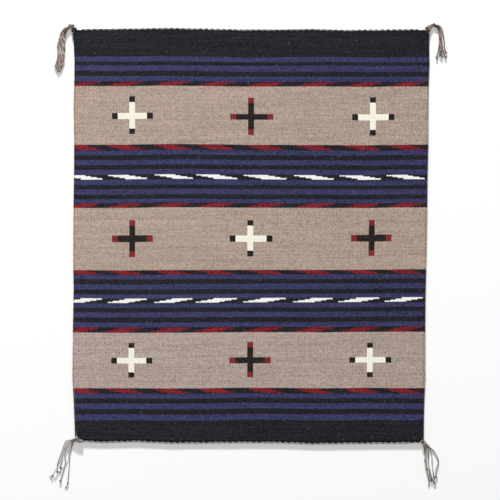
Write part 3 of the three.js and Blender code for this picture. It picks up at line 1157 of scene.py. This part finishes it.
@dataclass(frozen=True)
class CordFinish:
    """Grey-brown cord yarn, heathered, with the lines of its twist."""

    name: str
    light: tuple[float, float, float, float]
    dark: tuple[float, float, float, float]
    grime: tuple[float, float, float, float] = dyed(98, 91, 85)
    twist_pitch: float = 2.6  # of the fibres in one ply
    ridges_per_twist: float = 2.0
    fibres_per_twist: float = 4.0
    fibre_scale: float = 1.4
    patch_scale: float = 0.12
    # What brings out the dark yarn: the fibres, patches of them and wear
    fibre_dark: float = 1.1
    patch_dark: float = 0.9
    wear_dark: float = 0.75
    light_left: float = -0.85
    grime_rise: float = 0.8
    grime_from: float = -0.36  # with more than 0.45 of wear, the yarn turns the colour of grime
    clean_shade: float = 1.1
    wear_shade: float = -0.34
    darkest: float = 0.12
    groove_shade: float = 0.75
    ridge_light: float = 0.35
    fibre_relief: float = 0.5
    relief: float = 0.00025  # metres
    relief_strength: float = 0.6
    roughness: float = 0.84
    rougher: float = 0.12

    def make(self) -> bpy.types.Material:
        """Builds the material.

        Returns:
            It reads the yarn map and the wear.
        """
        bench = Bench(self.name)
        u, v = bench.coordinates(YARN_MAP)
        line = bench.math("ADD", bench.math("DIVIDE", u, self.twist_pitch), v)
        ridges = bench.math("MULTIPLY", line, self.ridges_per_twist)
        ridge = bench.dome(bench.math("FRACT", ridges))
        around = bench.math("MULTIPLY", line, self.fibres_per_twist)
        fibres = bench.grain(bench.pair(around, bench.add(u, v)), self.fibre_scale, 3.0)
        patches = bench.grain(bench.pair(bench.math("MULTIPLY", u, self.patch_scale), v), 1.0)
        wear_and_shade = bench.wear_and_shade()
        dull = bench.add(bench.math("MULTIPLY", fibres, self.fibre_dark),
                         bench.math("MULTIPLY", patches, self.patch_dark),
                         bench.math("MULTIPLY", wear_and_shade, self.wear_dark), self.light_left)
        colour = bench.mix(dull, self.light, self.dark)
        grimy = bench.math("MULTIPLY_ADD", wear_and_shade, self.grime_rise, self.grime_from)
        colour = bench.mix(grimy, colour, self.grime)
        soiled = bench.math("MULTIPLY_ADD", wear_and_shade, self.wear_shade, self.clean_shade)
        soiled = bench.math("MAXIMUM", soiled, self.darkest)
        lit = bench.math("MULTIPLY_ADD", ridge, self.ridge_light, self.groove_shade)
        colour = bench.shade(colour, bench.math("MULTIPLY", soiled, lit))
        bench.feed(bench.shader.inputs["Base Color"], colour)
        bench.bump(bench.add(ridge, bench.math("MULTIPLY", fibres, self.fibre_relief)),
                   self.relief, self.relief_strength)
        bench.matt(bench.math("MULTIPLY_ADD", fibres, self.rougher, self.roughness),
                   gloss=0.15, sheen=0.05, sheen_roughness=0.5)
        return bench.material


@dataclass(frozen=True)
class WovenPanel:
    """The tapestry panel: a rib for each warp on both faces, and a scalloped edge at each end."""

    node: str = "woven_cloth"
    thick: float = 3.2
    rib_deep: float = 0.55
    columns_per_warp: int = 3
    long_rows: int = 46
    end_rows: tuple[float, ...] = (0.0, 0.5, 1.5, 3.0, 5.0, 8.0, 12.0)
    top_lobe: float = -0.5  # from the outline in to a lobe at the top, which covers the cord
    top_notch: float = 1.7
    bottom_lobe: float = 0.6
    bottom_notch: float = 2.8
    lobe_fade: float = 1.8  # the length over which the scallops fade inwards
    lobe_share: float = 0.82  # of the full depth, which the scallops have on the average
    lobe_change: float = 0.18
    lobe_run: float = 9.1
    shaded_rim: float = 3.0  # how far in from an end the painted shade reaches
    uneven: float = 0.16
    # How far each face is drawn in at these distances from an end
    end_from: tuple[float, ...] = (0.0, 0.5, 1.5, 3.0, 5.0)
    bottom_upper: tuple[float, ...] = (1.1, 0.6, 0.2, 0.02, 0.0)
    bottom_lower: tuple[float, ...] = (1.0, 0.5, 0.15, 0.0, 0.0)
    top_upper: tuple[float, ...] = (0.4, 0.2, 0.05, 0.0, 0.0)
    top_lower: tuple[float, ...] = (2.3, 2.25, 1.3, 0.2, 0.0)
    groove_from: tuple[float, ...] = (0.0, 1.5, 5.0)
    groove_share: tuple[float, ...] = (0.25, 0.7, 1.0)
    # The same for the sides, at these numbers of warps from them
    side_from: tuple[float, ...] = (0.0, 0.34, 1.0)
    side_drawn: tuple[float, ...] = (0.45, 0.1, 0.0)

    def build(self, finish: bpy.types.Material, shift: Vector) -> bpy.types.Object:
        """Weaves the panel.

        Args:
            finish: The tapestry material.
            shift: What frame_shift says.

        Returns:
            The dressed piece.
        """
        rows = self.row_shares()
        columns = PLAN.warps * self.columns_per_warp
        bm = bmesh.new()
        bmesh.ops.create_grid(bm, x_segments=columns, y_segments=len(rows) - 1, size=0.5)
        raised = bmesh.ops.extrude_face_region(bm, geom=bm.faces[:], use_keep_orig=True)
        upper = [item for item in raised["geom"] if isinstance(item, bmesh.types.BMVert)]
        bmesh.ops.translate(bm, verts=upper, vec=(0, 0, 1))
        bmesh.ops.recalc_face_normals(bm, faces=bm.faces[:])
        mesh = bpy.data.meshes.new("woven_cloth_wool")
        bm.to_mesh(mesh)
        bm.free()

        unit = mesh_places(mesh)
        column = np.rint((unit[:, 0] + 0.5) * columns).astype(int)
        row = np.rint((unit[:, 1] + 0.5) * (len(rows) - 1)).astype(int)
        x, y, high, low = self.surfaces(rows, columns)
        face = np.where(unit[:, 2] > 0.5, high[row, column], low[row, column])
        places = np.stack([x[row, column], y[row, column], face], axis=1)
        set_places(mesh, places)
        warps = column / self.columns_per_warp
        stripes = places[:, 1] - PLAN.wave(places[:, 0], places[:, 1])
        set_map(mesh, WEAVE_MAP, np.stack([warps, stripes], axis=1))
        # Painted shade along each end, kept in the wear attribute: full at the end, none a few
        # millimetres in
        from_end = np.minimum(rows, 1 - rows)[row] * CHART_TOP * 2
        wear = mesh.attributes.new(WEAR_AND_RIM_SHADE, "FLOAT", "POINT")
        wear.data.foreach_set("value", np.clip(1 - from_end / self.shaded_rim, 0, 1))
        return finish_piece(mesh.name, mesh, self.node, finish, shift)

    def row_shares(self) -> np.ndarray:
        """Places the rows of faces along the cloth, close together at the ends.

        Returns:
            Their places as shares of the cloth's length.
        """
        length = CHART_TOP * 2
        ends = np.array(self.end_rows) / length
        middle = np.linspace(ends[-1], 1 - ends[-1], self.long_rows + 2)[1:-1]
        return np.concatenate([ends, middle, 1 - ends[::-1]])

    def surfaces(self, rows: np.ndarray, columns: int) -> tuple[np.ndarray, ...]:
        """Works out the cloth's two faces.

        Args:
            rows: The rows' places as shares of the length.
            columns: How many columns of faces there are.

        Returns:
            X, Y, the upper Z and the lower Z, each with a line for each row.
        """
        warps = np.arange(columns + 1) / self.columns_per_warp
        length = CHART_TOP * 2
        from_bottom, from_top = rows * length, (1 - rows) * length
        x = np.empty((len(rows), columns + 1))
        for i, share in enumerate(rows):
            y = -CHART_TOP + share * length
            near = from_bottom[i] if share < 0.5 else from_top[i]
            left, right = (BOTTOM_LEFT, BOTTOM_RIGHT) if share < 0.5 else (TOP_LEFT, TOP_RIGHT)
            drawn_in = (self.drawn_in(left.rounding, near),
                        self.drawn_in(right.rounding, near))
            x[i] = PLAN.warp_places(warps, y, drawn_in)
        lobes = np.abs(np.sin(x * math.pi / SCALLOP)) * (
            self.lobe_share + self.lobe_change * np.sin(x / self.lobe_run))
        top_edge = PLAN.top(x) - self.top_notch + (self.top_notch - self.top_lobe) * lobes
        bottom_edge = PLAN.bottom(x) + self.bottom_notch - (
            self.bottom_notch - self.bottom_lobe) * lobes
        fading = np.exp(-np.minimum(from_bottom, from_top) / self.lobe_fade)[:, None]
        plain_top = PLAN.top(x) - PLAN.edge_width
        plain_bottom = PLAN.bottom(x) + PLAN.edge_width
        top_edge = plain_top + (top_edge - plain_top) * fading
        bottom_edge = plain_bottom + (bottom_edge - plain_bottom) * fading
        y = bottom_edge + rows[:, None] * (top_edge - bottom_edge)

        upper, lower = (
            np.maximum(np.interp(from_bottom, self.end_from, at_bottom),
                       np.interp(from_top, self.end_from, at_top))[:, None]
            for at_bottom, at_top in ((self.bottom_upper, self.top_upper),
                                      (self.bottom_lower, self.top_lower))
        )
        share = warps % 1.0
        valley = np.where(np.isclose(share, 0.0) | np.isclose(share, 1.0), 1.0, 0.0)
        fade = np.interp(np.minimum(from_bottom, from_top), self.groove_from, self.groove_share)
        grooves = self.rib_deep * valley[None, :] * fade[:, None]
        from_side = np.minimum(warps, PLAN.warps - warps)
        drawn = grooves + np.interp(from_side, self.side_from, self.side_drawn)[None, :]
        lift = self.uneven * self.billow(x, y)
        return x, y, self.thick - upper - drawn + lift, lower + drawn

    @staticmethod
    def drawn_in(radius: float, near: float) -> float:
        """How far a rounded corner draws the side in.

        Args:
            radius: The corner's radius.
            near: How far from the end the place is.

        Returns:
            How far in the side is there.
        """
        if near >= radius:
            return 0.0
        return radius - math.sqrt(radius**2 - (radius - near) ** 2)

    @staticmethod
    def billow(x: np.ndarray, y: np.ndarray) -> np.ndarray:
        """Slow unevenness of hand-beaten cloth.

        Args:
            x: Places across the rug.
            y: Their heights.

        Returns:
            The unevenness at each, between -1 and 1.
        """
        slow = np.sin(x / 61 + 0.8 * np.sin(y / 83)) * np.sin(y / 47 + 0.6 * np.sin(x / 71))
        quick = np.sin(x / 23 + y / 37) * np.sin(y / 29 - x / 53)
        return 0.6 * slow + 0.4 * quick


@dataclass(frozen=True)
class EndCord:
    """The twined cord at one end: two plies that cross once for each scallop."""

    node: str
    at_top: bool
    width: float
    depth: float  # how far in it dips at a notch
    outside: float  # how far it has slipped out past the outline, away from the corners
    slip_reach: float = 24.0
    inset: float = 0.51  # from the outline to its middle, as a share of its width
    lift: float = 0.28  # its middle's height without the parting of its plies, likewise
    stain_reach: float = 5.0  # how far the wear of a corner goes
    flat: float = 0.5
    pitch: float = 2 * SCALLOP
    step: float = 1.4
    sides: int = 8

    def build(self, finish: bpy.types.Material, shift: Vector) -> bpy.types.Object:
        """Twines the cord.

        Args:
            finish: The cord material.
            shift: What frame_shift says.

        Returns:
            The dressed piece.
        """
        left, right = (TOP_LEFT, TOP_RIGHT) if self.at_top else (BOTTOM_LEFT, BOTTOM_RIGHT)
        x = np.arange(left.x + left.clear, right.x - right.clear, self.step)
        inward = -1 if self.at_top else 1
        edge = PLAN.top(x) if self.at_top else PLAN.bottom(x)
        from_end = np.minimum(x - x[0], x[-1] - x)
        dip = self.depth * (1 - np.abs(np.sin(x * math.pi / SCALLOP)))
        slip = self.outside * np.clip(from_end / self.slip_reach, 0, 1)
        y = edge + inward * (self.width * self.inset + dip - slip)
        z = np.full(len(x), self.width * (PLY_OFFSET * self.flat + self.lift))
        wear = np.exp(-from_end / self.stain_reach)
        spool = Spool()
        spool.wind_plies(np.stack([x, y, z], axis=1), self.width, self.pitch, self.sides, wear,
                         self.flat)
        name = f"{self.node}_yarn"
        return finish_piece(name, spool.mesh(name), self.node, finish, shift)


@dataclass(frozen=True)
class SelvageCord:
    """The cord down one side, wrapped in the weft that turns around it."""

    node: str
    right: bool
    width: float = 3.0
    swelling: float = 11.7  # from one swelling to the next
    # Shares of its radius: without the swellings, at a swelling and at a turn of weft
    core: float = 0.86
    swollen: float = 0.1
    wrapped: float = 0.06
    aside: float = 0.25  # how far in it lies between two swellings
    lift: float = 0.06
    sides: int = 10

    def build(self, finish: bpy.types.Material, shift: Vector) -> bpy.types.Object:
        """Wraps the cord.

        Args:
            finish: The tapestry material for a selvage.
            shift: What frame_shift says.

        Returns:
            The dressed piece.
        """
        low, high = (BOTTOM_RIGHT, TOP_RIGHT) if self.right else (BOTTOM_LEFT, TOP_LEFT)
        y = np.arange(low.y + low.clear, high.y - high.clear, FLOAT_LENGTH / 3)
        edge = PLAN.right(y) if self.right else PLAN.left(y)
        inward = -1 if self.right else 1
        swell = np.abs(np.sin(y * math.pi / self.swelling))
        turns = np.abs(np.sin(y * math.pi / FLOAT_LENGTH))
        radius = self.width / 2 * (self.core + self.swollen * swell + self.wrapped * turns)
        x = edge + inward * (self.width / 2 + self.aside * (1 - swell))
        z = np.full(len(y), self.width / 2 + self.lift)
        spool = Spool()
        spool.wind(np.stack([x, y, z], axis=1), radius, self.sides)
        name = f"{self.node}_wool"
        mesh = spool.mesh(name)
        places = mesh_places(mesh)
        outline = PLAN.right(places[:, 1]) if self.right else PLAN.left(places[:, 1])
        inner = outline + inward * PLAN.edge_width
        first = PLAN.warps if self.right else 0
        warps = first + np.clip((places[:, 0] - inner) / PLAN.warp_pitch, -0.99, 0.99)
        stripes = places[:, 1] - PLAN.wave(places[:, 0], places[:, 1])
        set_map(mesh, WEAVE_MAP, np.stack([warps, stripes], axis=1))
        return finish_piece(name, mesh, self.node, finish, shift)


@dataclass(frozen=True)
class Knot:
    """An overhand knot that fills a lump."""

    radius: float
    height: float
    # Its yarn is as thick as both of these shares of the lump allow
    yarn_of_radius: float = 0.33
    yarn_of_height: float = 0.4
    ring: float = 0.66  # the ring that it runs around, as a share of what the yarn leaves
    swing: float = 0.5  # how far it runs in and out of that ring
    points: int = 60
    sides: int = 7

    def tie(self, spool: Spool, place: tuple[float, float], turn: float, wear: float) -> None:
        """Ties the knot.

        Args:
            spool: Where its yarn goes.
            place: X and Y of its middle.
            turn: How far it is turned, in radians.
            wear: How dark handling has made it.
        """
        yarn = min(self.radius * self.yarn_of_radius, self.height * self.yarn_of_height)
        t = np.linspace(0, 2 * math.pi, self.points)
        out = (self.radius - yarn) * self.ring * (1 + self.swing * np.cos(3 * t))
        path = np.stack([
            place[0] + out * np.cos(2 * t + turn),
            place[1] + out * np.sin(2 * t + turn),
            self.height / 2 + (self.height / 2 - yarn) * np.sin(3 * t),
        ], axis=1)
        spool.wind(path, yarn, self.sides, wear)


@dataclass(frozen=True)
class FrayedEnd:
    """The end of a strand beyond its knot, which parts in a few thin locks."""

    width: float  # of the strand
    pitch: float
    flat: float
    wear: float
    reach: float = 0.8  # how far towards the tip of its tail the strand still holds together
    thinner: float = 0.85
    tighter: float = 0.7
    bend: float = 0.14
    resting: float = 0.4  # its middle's height, as a share of its width
    step: float = 0.8
    sides: int = 5
    locks: int = 4
    lock_reach: float = 0.35
    lock_spread: float = 0.48
    lock_curl: float = 0.048
    lock_height: float = 0.45
    lock_layer: float = 0.3  # how much higher every other lock lies
    lock_drop: float = 0.4
    lock_sides: int = 4
    lock_radii: tuple[float, ...] = (0.42, 0.34, 0.16)  # at its start, middle and tip
    lock_wear: tuple[float, float] = (0.8, 0.4)

    def lay(self, spool: Spool, start: np.ndarray, tip: np.ndarray, seed: int) -> None:
        """Lays the end on the floor.

        Args:
            spool: Where its yarn goes.
            start: X and Y of the knot.
            tip: X and Y of the tail's tip.
            seed: Another number for each strand.
        """
        ahead = tip - start
        across = np.array((-ahead[1], ahead[0]))
        t = np.linspace(0, 1, 9)
        bend = self.bend * np.sin(t * 2.6 + seed * 1.7) * t
        flat = start + np.outer(t * self.reach, ahead) + np.outer(bend, across)
        path = respaced(np.column_stack([flat, np.full(len(t), self.width * self.resting)]),
                        self.step)
        spool.wind_plies(path, self.width * self.thinner, self.pitch * self.tighter, self.sides,
                         self.wear, self.flat)
        for lock in range(self.locks):
            spread = self.lock_spread * (lock - (self.locks - 1) / 2) / self.locks
            curl = (spread + self.lock_curl * np.sin(t * 5 + lock * 2.1 + seed)) * t
            flat = path[-3, :2] + np.outer(t * self.lock_reach, ahead) + np.outer(curl, across)
            z = self.lock_height + self.lock_layer * (lock % 2) + self.lock_drop * (1 - t)
            thin = np.interp(t, (0, 0.5, 1), self.lock_radii)
            spool.wind(np.column_stack([flat, z]), thin, self.lock_sides,
                       np.linspace(*self.lock_wear, len(t)))


@dataclass(frozen=True)
class CornerTassel:
    """The cords' ends at one corner: a knot and the loose strands that leave it."""

    corner: Corner
    root_wear: tuple[float, ...] = (0.6, 0.6, 0.6, 0.6, 0.6)
    curls: tuple[tuple[int, float], ...] = ()  # strand, and the share of it where a knot is
    strand_width: float = 2.3
    strand_flat: float = 0.6
    strand_pitch: float = 8.5
    stacked: float = 0.0  # how far every other strand lies higher where they all bend
    stacked_shares: tuple[float, ...] = (0.0, 0.22, 0.36)  # of the strand's length
    stacked_levels: tuple[float, ...] = (1.0, 1.0, 0.0)
    fit_gap: float = 0.3
    lift: float = 0.34  # its middle's height without the parting of its plies, of its width
    point_step: float = 0.85
    strand_sides: int = 6
    crossing_reach: float = 18
    twist_from: float = 0.16  # shares of a strand's length
    twist_to: float = 0.86
    quick: float = 0.45  # below 1 two strands change places quickly and lie close otherwise
    over: float = 0.8  # how high one passes over the other, as a share of its width
    strand_wear: tuple[float, ...] = (0.5, 0.05, 0.35, 0.1, 0.6)
    wear_shares: tuple[float, ...] = (0.0, 0.2, 0.34, 0.75, 1.0)
    blotch: float = 0.25
    knot_wear: float = 0.9
    knot_stain: float = 0.2  # how much more wear the end knots have, and the tails beyond them
    tail_stain: float = 0.3
    tail_limit: float = 0.8
    knot_radius: float = 2.2
    knot_height: float = 2.4
    small_radius: float = 0.85  # shares of an end knot, for the small ones before it
    small_height: float = 0.6
    # How far a lump, an end knot and a small knot are turned against the one before, in radians
    lump_turn: float = 0.9
    end_turn: float = 1.3
    small_turn: float = 2.1

    def build(self, finish: bpy.types.Material, shift: Vector) -> bpy.types.Object:
        """Knots the tassel.

        Args:
            finish: The cord material.
            shift: What frame_shift says.

        Returns:
            The dressed piece.
        """
        spool = Spool()
        for turn, lump in enumerate(self.corner.lumps):
            place = (self.corner.x + self.corner.right * lump.u,
                     self.corner.y + self.corner.up * lump.v)
            Knot(lump.radius, lump.height).tie(spool, place, turn * self.lump_turn, lump.wear)
        paths = self.routes()
        for path, root, middle in zip(paths, self.root_wear, self.strand_wear):
            spool.wind_plies(path, self.strand_width, self.strand_pitch, self.strand_sides,
                             self.wear(path, root, middle), self.strand_flat)
        end_knot = Knot(self.knot_radius, self.knot_height)
        frayed = FrayedEnd(self.strand_width, self.strand_pitch, self.strand_flat,
                           min(self.knot_wear + self.tail_stain, self.tail_limit))
        corner_place = np.array((self.corner.x, self.corner.y))
        for turn, strand in enumerate(self.corner.strands):
            place = corner_place + strand.knot
            end_knot.tie(spool, place, turn * self.end_turn, self.knot_wear + self.knot_stain)
            frayed.lay(spool, place, corner_place + strand.tail, turn)
        for turn, (strand, share) in enumerate(self.curls):
            x, y, z = paths[strand][round(share * (len(paths[strand]) - 1))]
            small_knot = Knot(self.knot_radius * self.small_radius,
                              self.knot_height * self.small_height + z)
            small_knot.tie(spool, (x, y), turn * self.small_turn, self.knot_wear)
        name = f"{self.corner.name}_yarn"
        return finish_piece(name, spool.mesh(name), self.corner.name, finish, shift)

    def routes(self) -> list[np.ndarray]:
        """Lays the strands on the floor, some around each other and some across another.

        Returns:
            For each strand, rows of X, Y and Z.
        """
        laid = []
        for place, strand in enumerate(self.corner.strands):
            named = (strand.root, strand.shoulder, strand.waist, strand.knee, strand.knot)
            flat = smooth_route([(self.corner.x + x, self.corner.y + y) for x, y in named])
            path = respaced(np.column_stack([flat, np.zeros(len(flat))]), self.point_step)
            length = along(path)
            level = np.interp(length / length[-1], self.stacked_shares, self.stacked_levels)
            rise = self.stacked * (place % 2) * level
            if strand.crossing > 0:
                away = np.abs(length - strand.crossing * length[-1]) / self.crossing_reach
                over = np.clip(2 - 2 * away, 0, 1)
                rise += (self.strand_width + self.fit_gap) * over * over * (3 - 2 * over)
            path[:, 2] = self.strand_width * (PLY_OFFSET * self.strand_flat + self.lift) + rise
            laid.append(path)
        for first, second, turns in self.corner.entwined:
            laid[first], laid[second] = self.entwine(laid[first], laid[second], turns)
        return laid

    def entwine(self, first: np.ndarray, second: np.ndarray,
                turns: float) -> tuple[np.ndarray, np.ndarray]:
        """Turns two strands around each other between their shoulders and their knees.

        Args:
            first: One strand's route.
            second: The other's.
            turns: How often they turn. After a half turn they have changed places.

        Returns:
            The two new routes.
        """
        count = max(len(first), len(second))
        share = np.linspace(0, 1, count)
        pair = [np.stack([np.interp(share, np.linspace(0, 1, len(path)), path[:, axis])
                          for axis in range(3)], axis=1) for path in (first, second)]
        reach = np.clip((share - self.twist_from) / (self.twist_to - self.twist_from), 0, 1)
        turn = 2 * math.pi * turns * reach * reach * (3 - 2 * reach)
        middle, half = (pair[0] + pair[1]) / 2, (pair[0] - pair[1]) / 2
        over = np.sin(turn) * (self.strand_width * self.over + self.fit_gap)
        aside = np.sign(np.cos(turn)) * np.abs(np.cos(turn)) ** self.quick
        one = middle + half * aside[:, None]
        other = middle - half * aside[:, None]
        one[:, 2] += np.maximum(over, 0)
        other[:, 2] += np.maximum(-over, 0)
        return one, other

    def wear(self, path: np.ndarray, root: float, middle: float) -> np.ndarray:
        """How dark handling has made a strand along its route.

        Args:
            path: The route, from its root to its knot.
            root: The wear at its root.
            middle: The wear at its middle.

        Returns:
            The wear at each point.
        """
        length = along(path)
        levels = (root, root, middle, middle, self.knot_wear)
        wear = np.interp(length / length[-1], self.wear_shares, levels)
        return wear + self.blotch * np.sin(length / 5.3 + middle * 9)


@dataclass(frozen=True)
class Lamp:
    """A square soft lamp that faces the rug."""

    name: str
    place: tuple[float, float, float]  # metres
    size: float  # metres
    power: float  # watts

    def hang(self) -> None:
        """Hangs the lamp in its place."""
        data = bpy.data.lights.new(self.name, "AREA")
        data.shape, data.size, data.energy = "SQUARE", self.size, self.power
        lamp = bpy.data.objects.new(self.name, data)
        lamp.location = self.place
        lamp.rotation_mode = "QUATERNION"
        lamp.rotation_quaternion = (-Vector(self.place)).to_track_quat("-Z", "Y")
        bpy.context.scene.collection.objects.link(lamp)


@dataclass(frozen=True)
class Studio:
    """A pale floor, a low key lamp beyond the top end, a faint fill lamp and a camera above."""

    lamps: tuple[Lamp, ...] = (
        Lamp("key", (-0.8, 11.85, 1.86), 0.45, 4600.0),
        Lamp("fill", (-2.2, 0.3, 1.8), 1.6, 6.0),
    )
    room_light: float = 0.585
    # Sizes in metres, but the sensor's in millimetres
    view_width: float = 1.08
    view_middle: tuple[float, float] = (0.003, 0.0122)
    camera_height: float = 3.0
    sensor: float = 36.0
    floor_size: float = 14.0
    floor_colour: tuple[float, float, float, float] = (0.89, 0.89, 0.885, 1.0)
    floor_roughness: float = 0.95

    def build(self) -> None:
        """Sets the floor, the lights and the camera."""
        scene = bpy.context.scene
        scene.view_settings.view_transform = "Standard"
        scene.view_settings.look = "None"
        self.lay_floor()
        self.light_room(scene)
        for lamp in self.lamps:
            lamp.hang()
        self.place_camera(scene)
        log.info("studio: floor, world, %d lamps and camera", len(self.lamps))

    def lay_floor(self) -> None:
        """Lays a plain pale floor under the rug."""
        bm = bmesh.new()
        bmesh.ops.create_grid(bm, x_segments=1, y_segments=1, size=self.floor_size / 2)
        mesh = bpy.data.meshes.new("floor")
        bm.to_mesh(mesh)
        bm.free()
        bench = Bench("pale floor")
        bench.shader.inputs["Base Color"].default_value = self.floor_colour
        bench.shader.inputs["Roughness"].default_value = self.floor_roughness
        bench.shader.inputs["Specular IOR Level"].default_value = 0.1
        mesh.materials.append(bench.material)
        floor = bpy.data.objects.new("floor", mesh)
        bpy.context.scene.collection.objects.link(floor)

    def light_room(self, scene: bpy.types.Scene) -> None:
        """Fills the room with even light.

        Args:
            scene: The scene.
        """
        world = bpy.data.worlds.new("room light")
        world.use_nodes = True
        background = world.node_tree.nodes["Background"]
        background.inputs["Color"].default_value = (1, 1, 1, 1)
        background.inputs["Strength"].default_value = self.room_light
        scene.world = world

    def place_camera(self, scene: bpy.types.Scene) -> None:
        """Puts the camera above the middle of the photograph, with the rug's top end up.

        Args:
            scene: The scene.
        """
        data = bpy.data.cameras.new("camera")
        data.sensor_width = self.sensor
        data.lens = self.sensor * self.camera_height / self.view_width
        camera = bpy.data.objects.new("camera", data)
        camera.location = (*self.view_middle, self.camera_height)
        scene.collection.objects.link(camera)
        scene.camera = camera


def main() -> None:
    """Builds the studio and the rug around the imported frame."""
    logging.basicConfig(level=logging.INFO, format="%(name)s: %(message)s")
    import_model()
    shift = frame_shift()
    log.info("the rug's middle lies %.2f, %.2f mm from the frame's", shift.x, shift.y)
    Studio().build()

    tapestry = TapestryFinish("tapestry wool").make()
    wrapped = TapestryFinish("weft over the selvage", selvage=True).make()
    cord_yarn = CordFinish("cord yarn", dyed(196, 174, 163), dyed(114, 93, 84)).make()
    pale_cord = CordFinish("pale cord yarn", dyed(200, 192, 186), dyed(118, 104, 96)).make()
    grey_cord = CordFinish("grey cord yarn", dyed(192, 180, 175), dyed(107, 94, 88)).make()

    cloth = WovenPanel().build(tapestry, shift)
    edging = [
        EndCord("end_cord_top", at_top=True, width=3.2, depth=1.6,
                outside=3.9).build(pale_cord, shift),
        EndCord("end_cord_bottom", at_top=False, width=2.7, depth=0.3,
                outside=2.2).build(pale_cord, shift),
        SelvageCord("side_cord_left", right=False).build(wrapped, shift),
        SelvageCord("side_cord_right", right=True).build(wrapped, shift),
    ]
    tassels = [
        CornerTassel(
            TOP_LEFT, strand_width=2.7, stacked=0.7, knot_wear=0.3, knot_radius=2.0,
            root_wear=(0.4, 0.4, 0.5, 0.6, 1.0, 1.6),
            strand_wear=(0.25, -0.3, 0.1, -0.15, -0.25, 0.3),
            curls=((0, 0.86), (1, 0.93), (2, 0.9), (3, 0.92), (4, 0.9), (5, 0.93)),
        ).build(cord_yarn, shift),
        CornerTassel(
            TOP_RIGHT, strand_width=2.7, stacked=0.4, knot_wear=0.6,
            root_wear=(1.4, 1.5, 1.2, 0.6, 0.3),
            curls=((1, 0.88), (2, 0.82), (2, 0.92), (3, 0.84), (3, 0.93), (4, 0.93)),
        ).build(cord_yarn, shift),
        CornerTassel(
            BOTTOM_LEFT, strand_width=1.65, strand_pitch=5.2, point_step=0.6,
            strand_wear=(0.6, 0.2, 0.5, 0.3, 0.7),
        ).build(grey_cord, shift),
        CornerTassel(
            BOTTOM_RIGHT, strand_width=2.2, strand_pitch=5.2, point_step=0.6,
        ).build(grey_cord, shift),
    ]


if __name__ == "__main__":
    main()
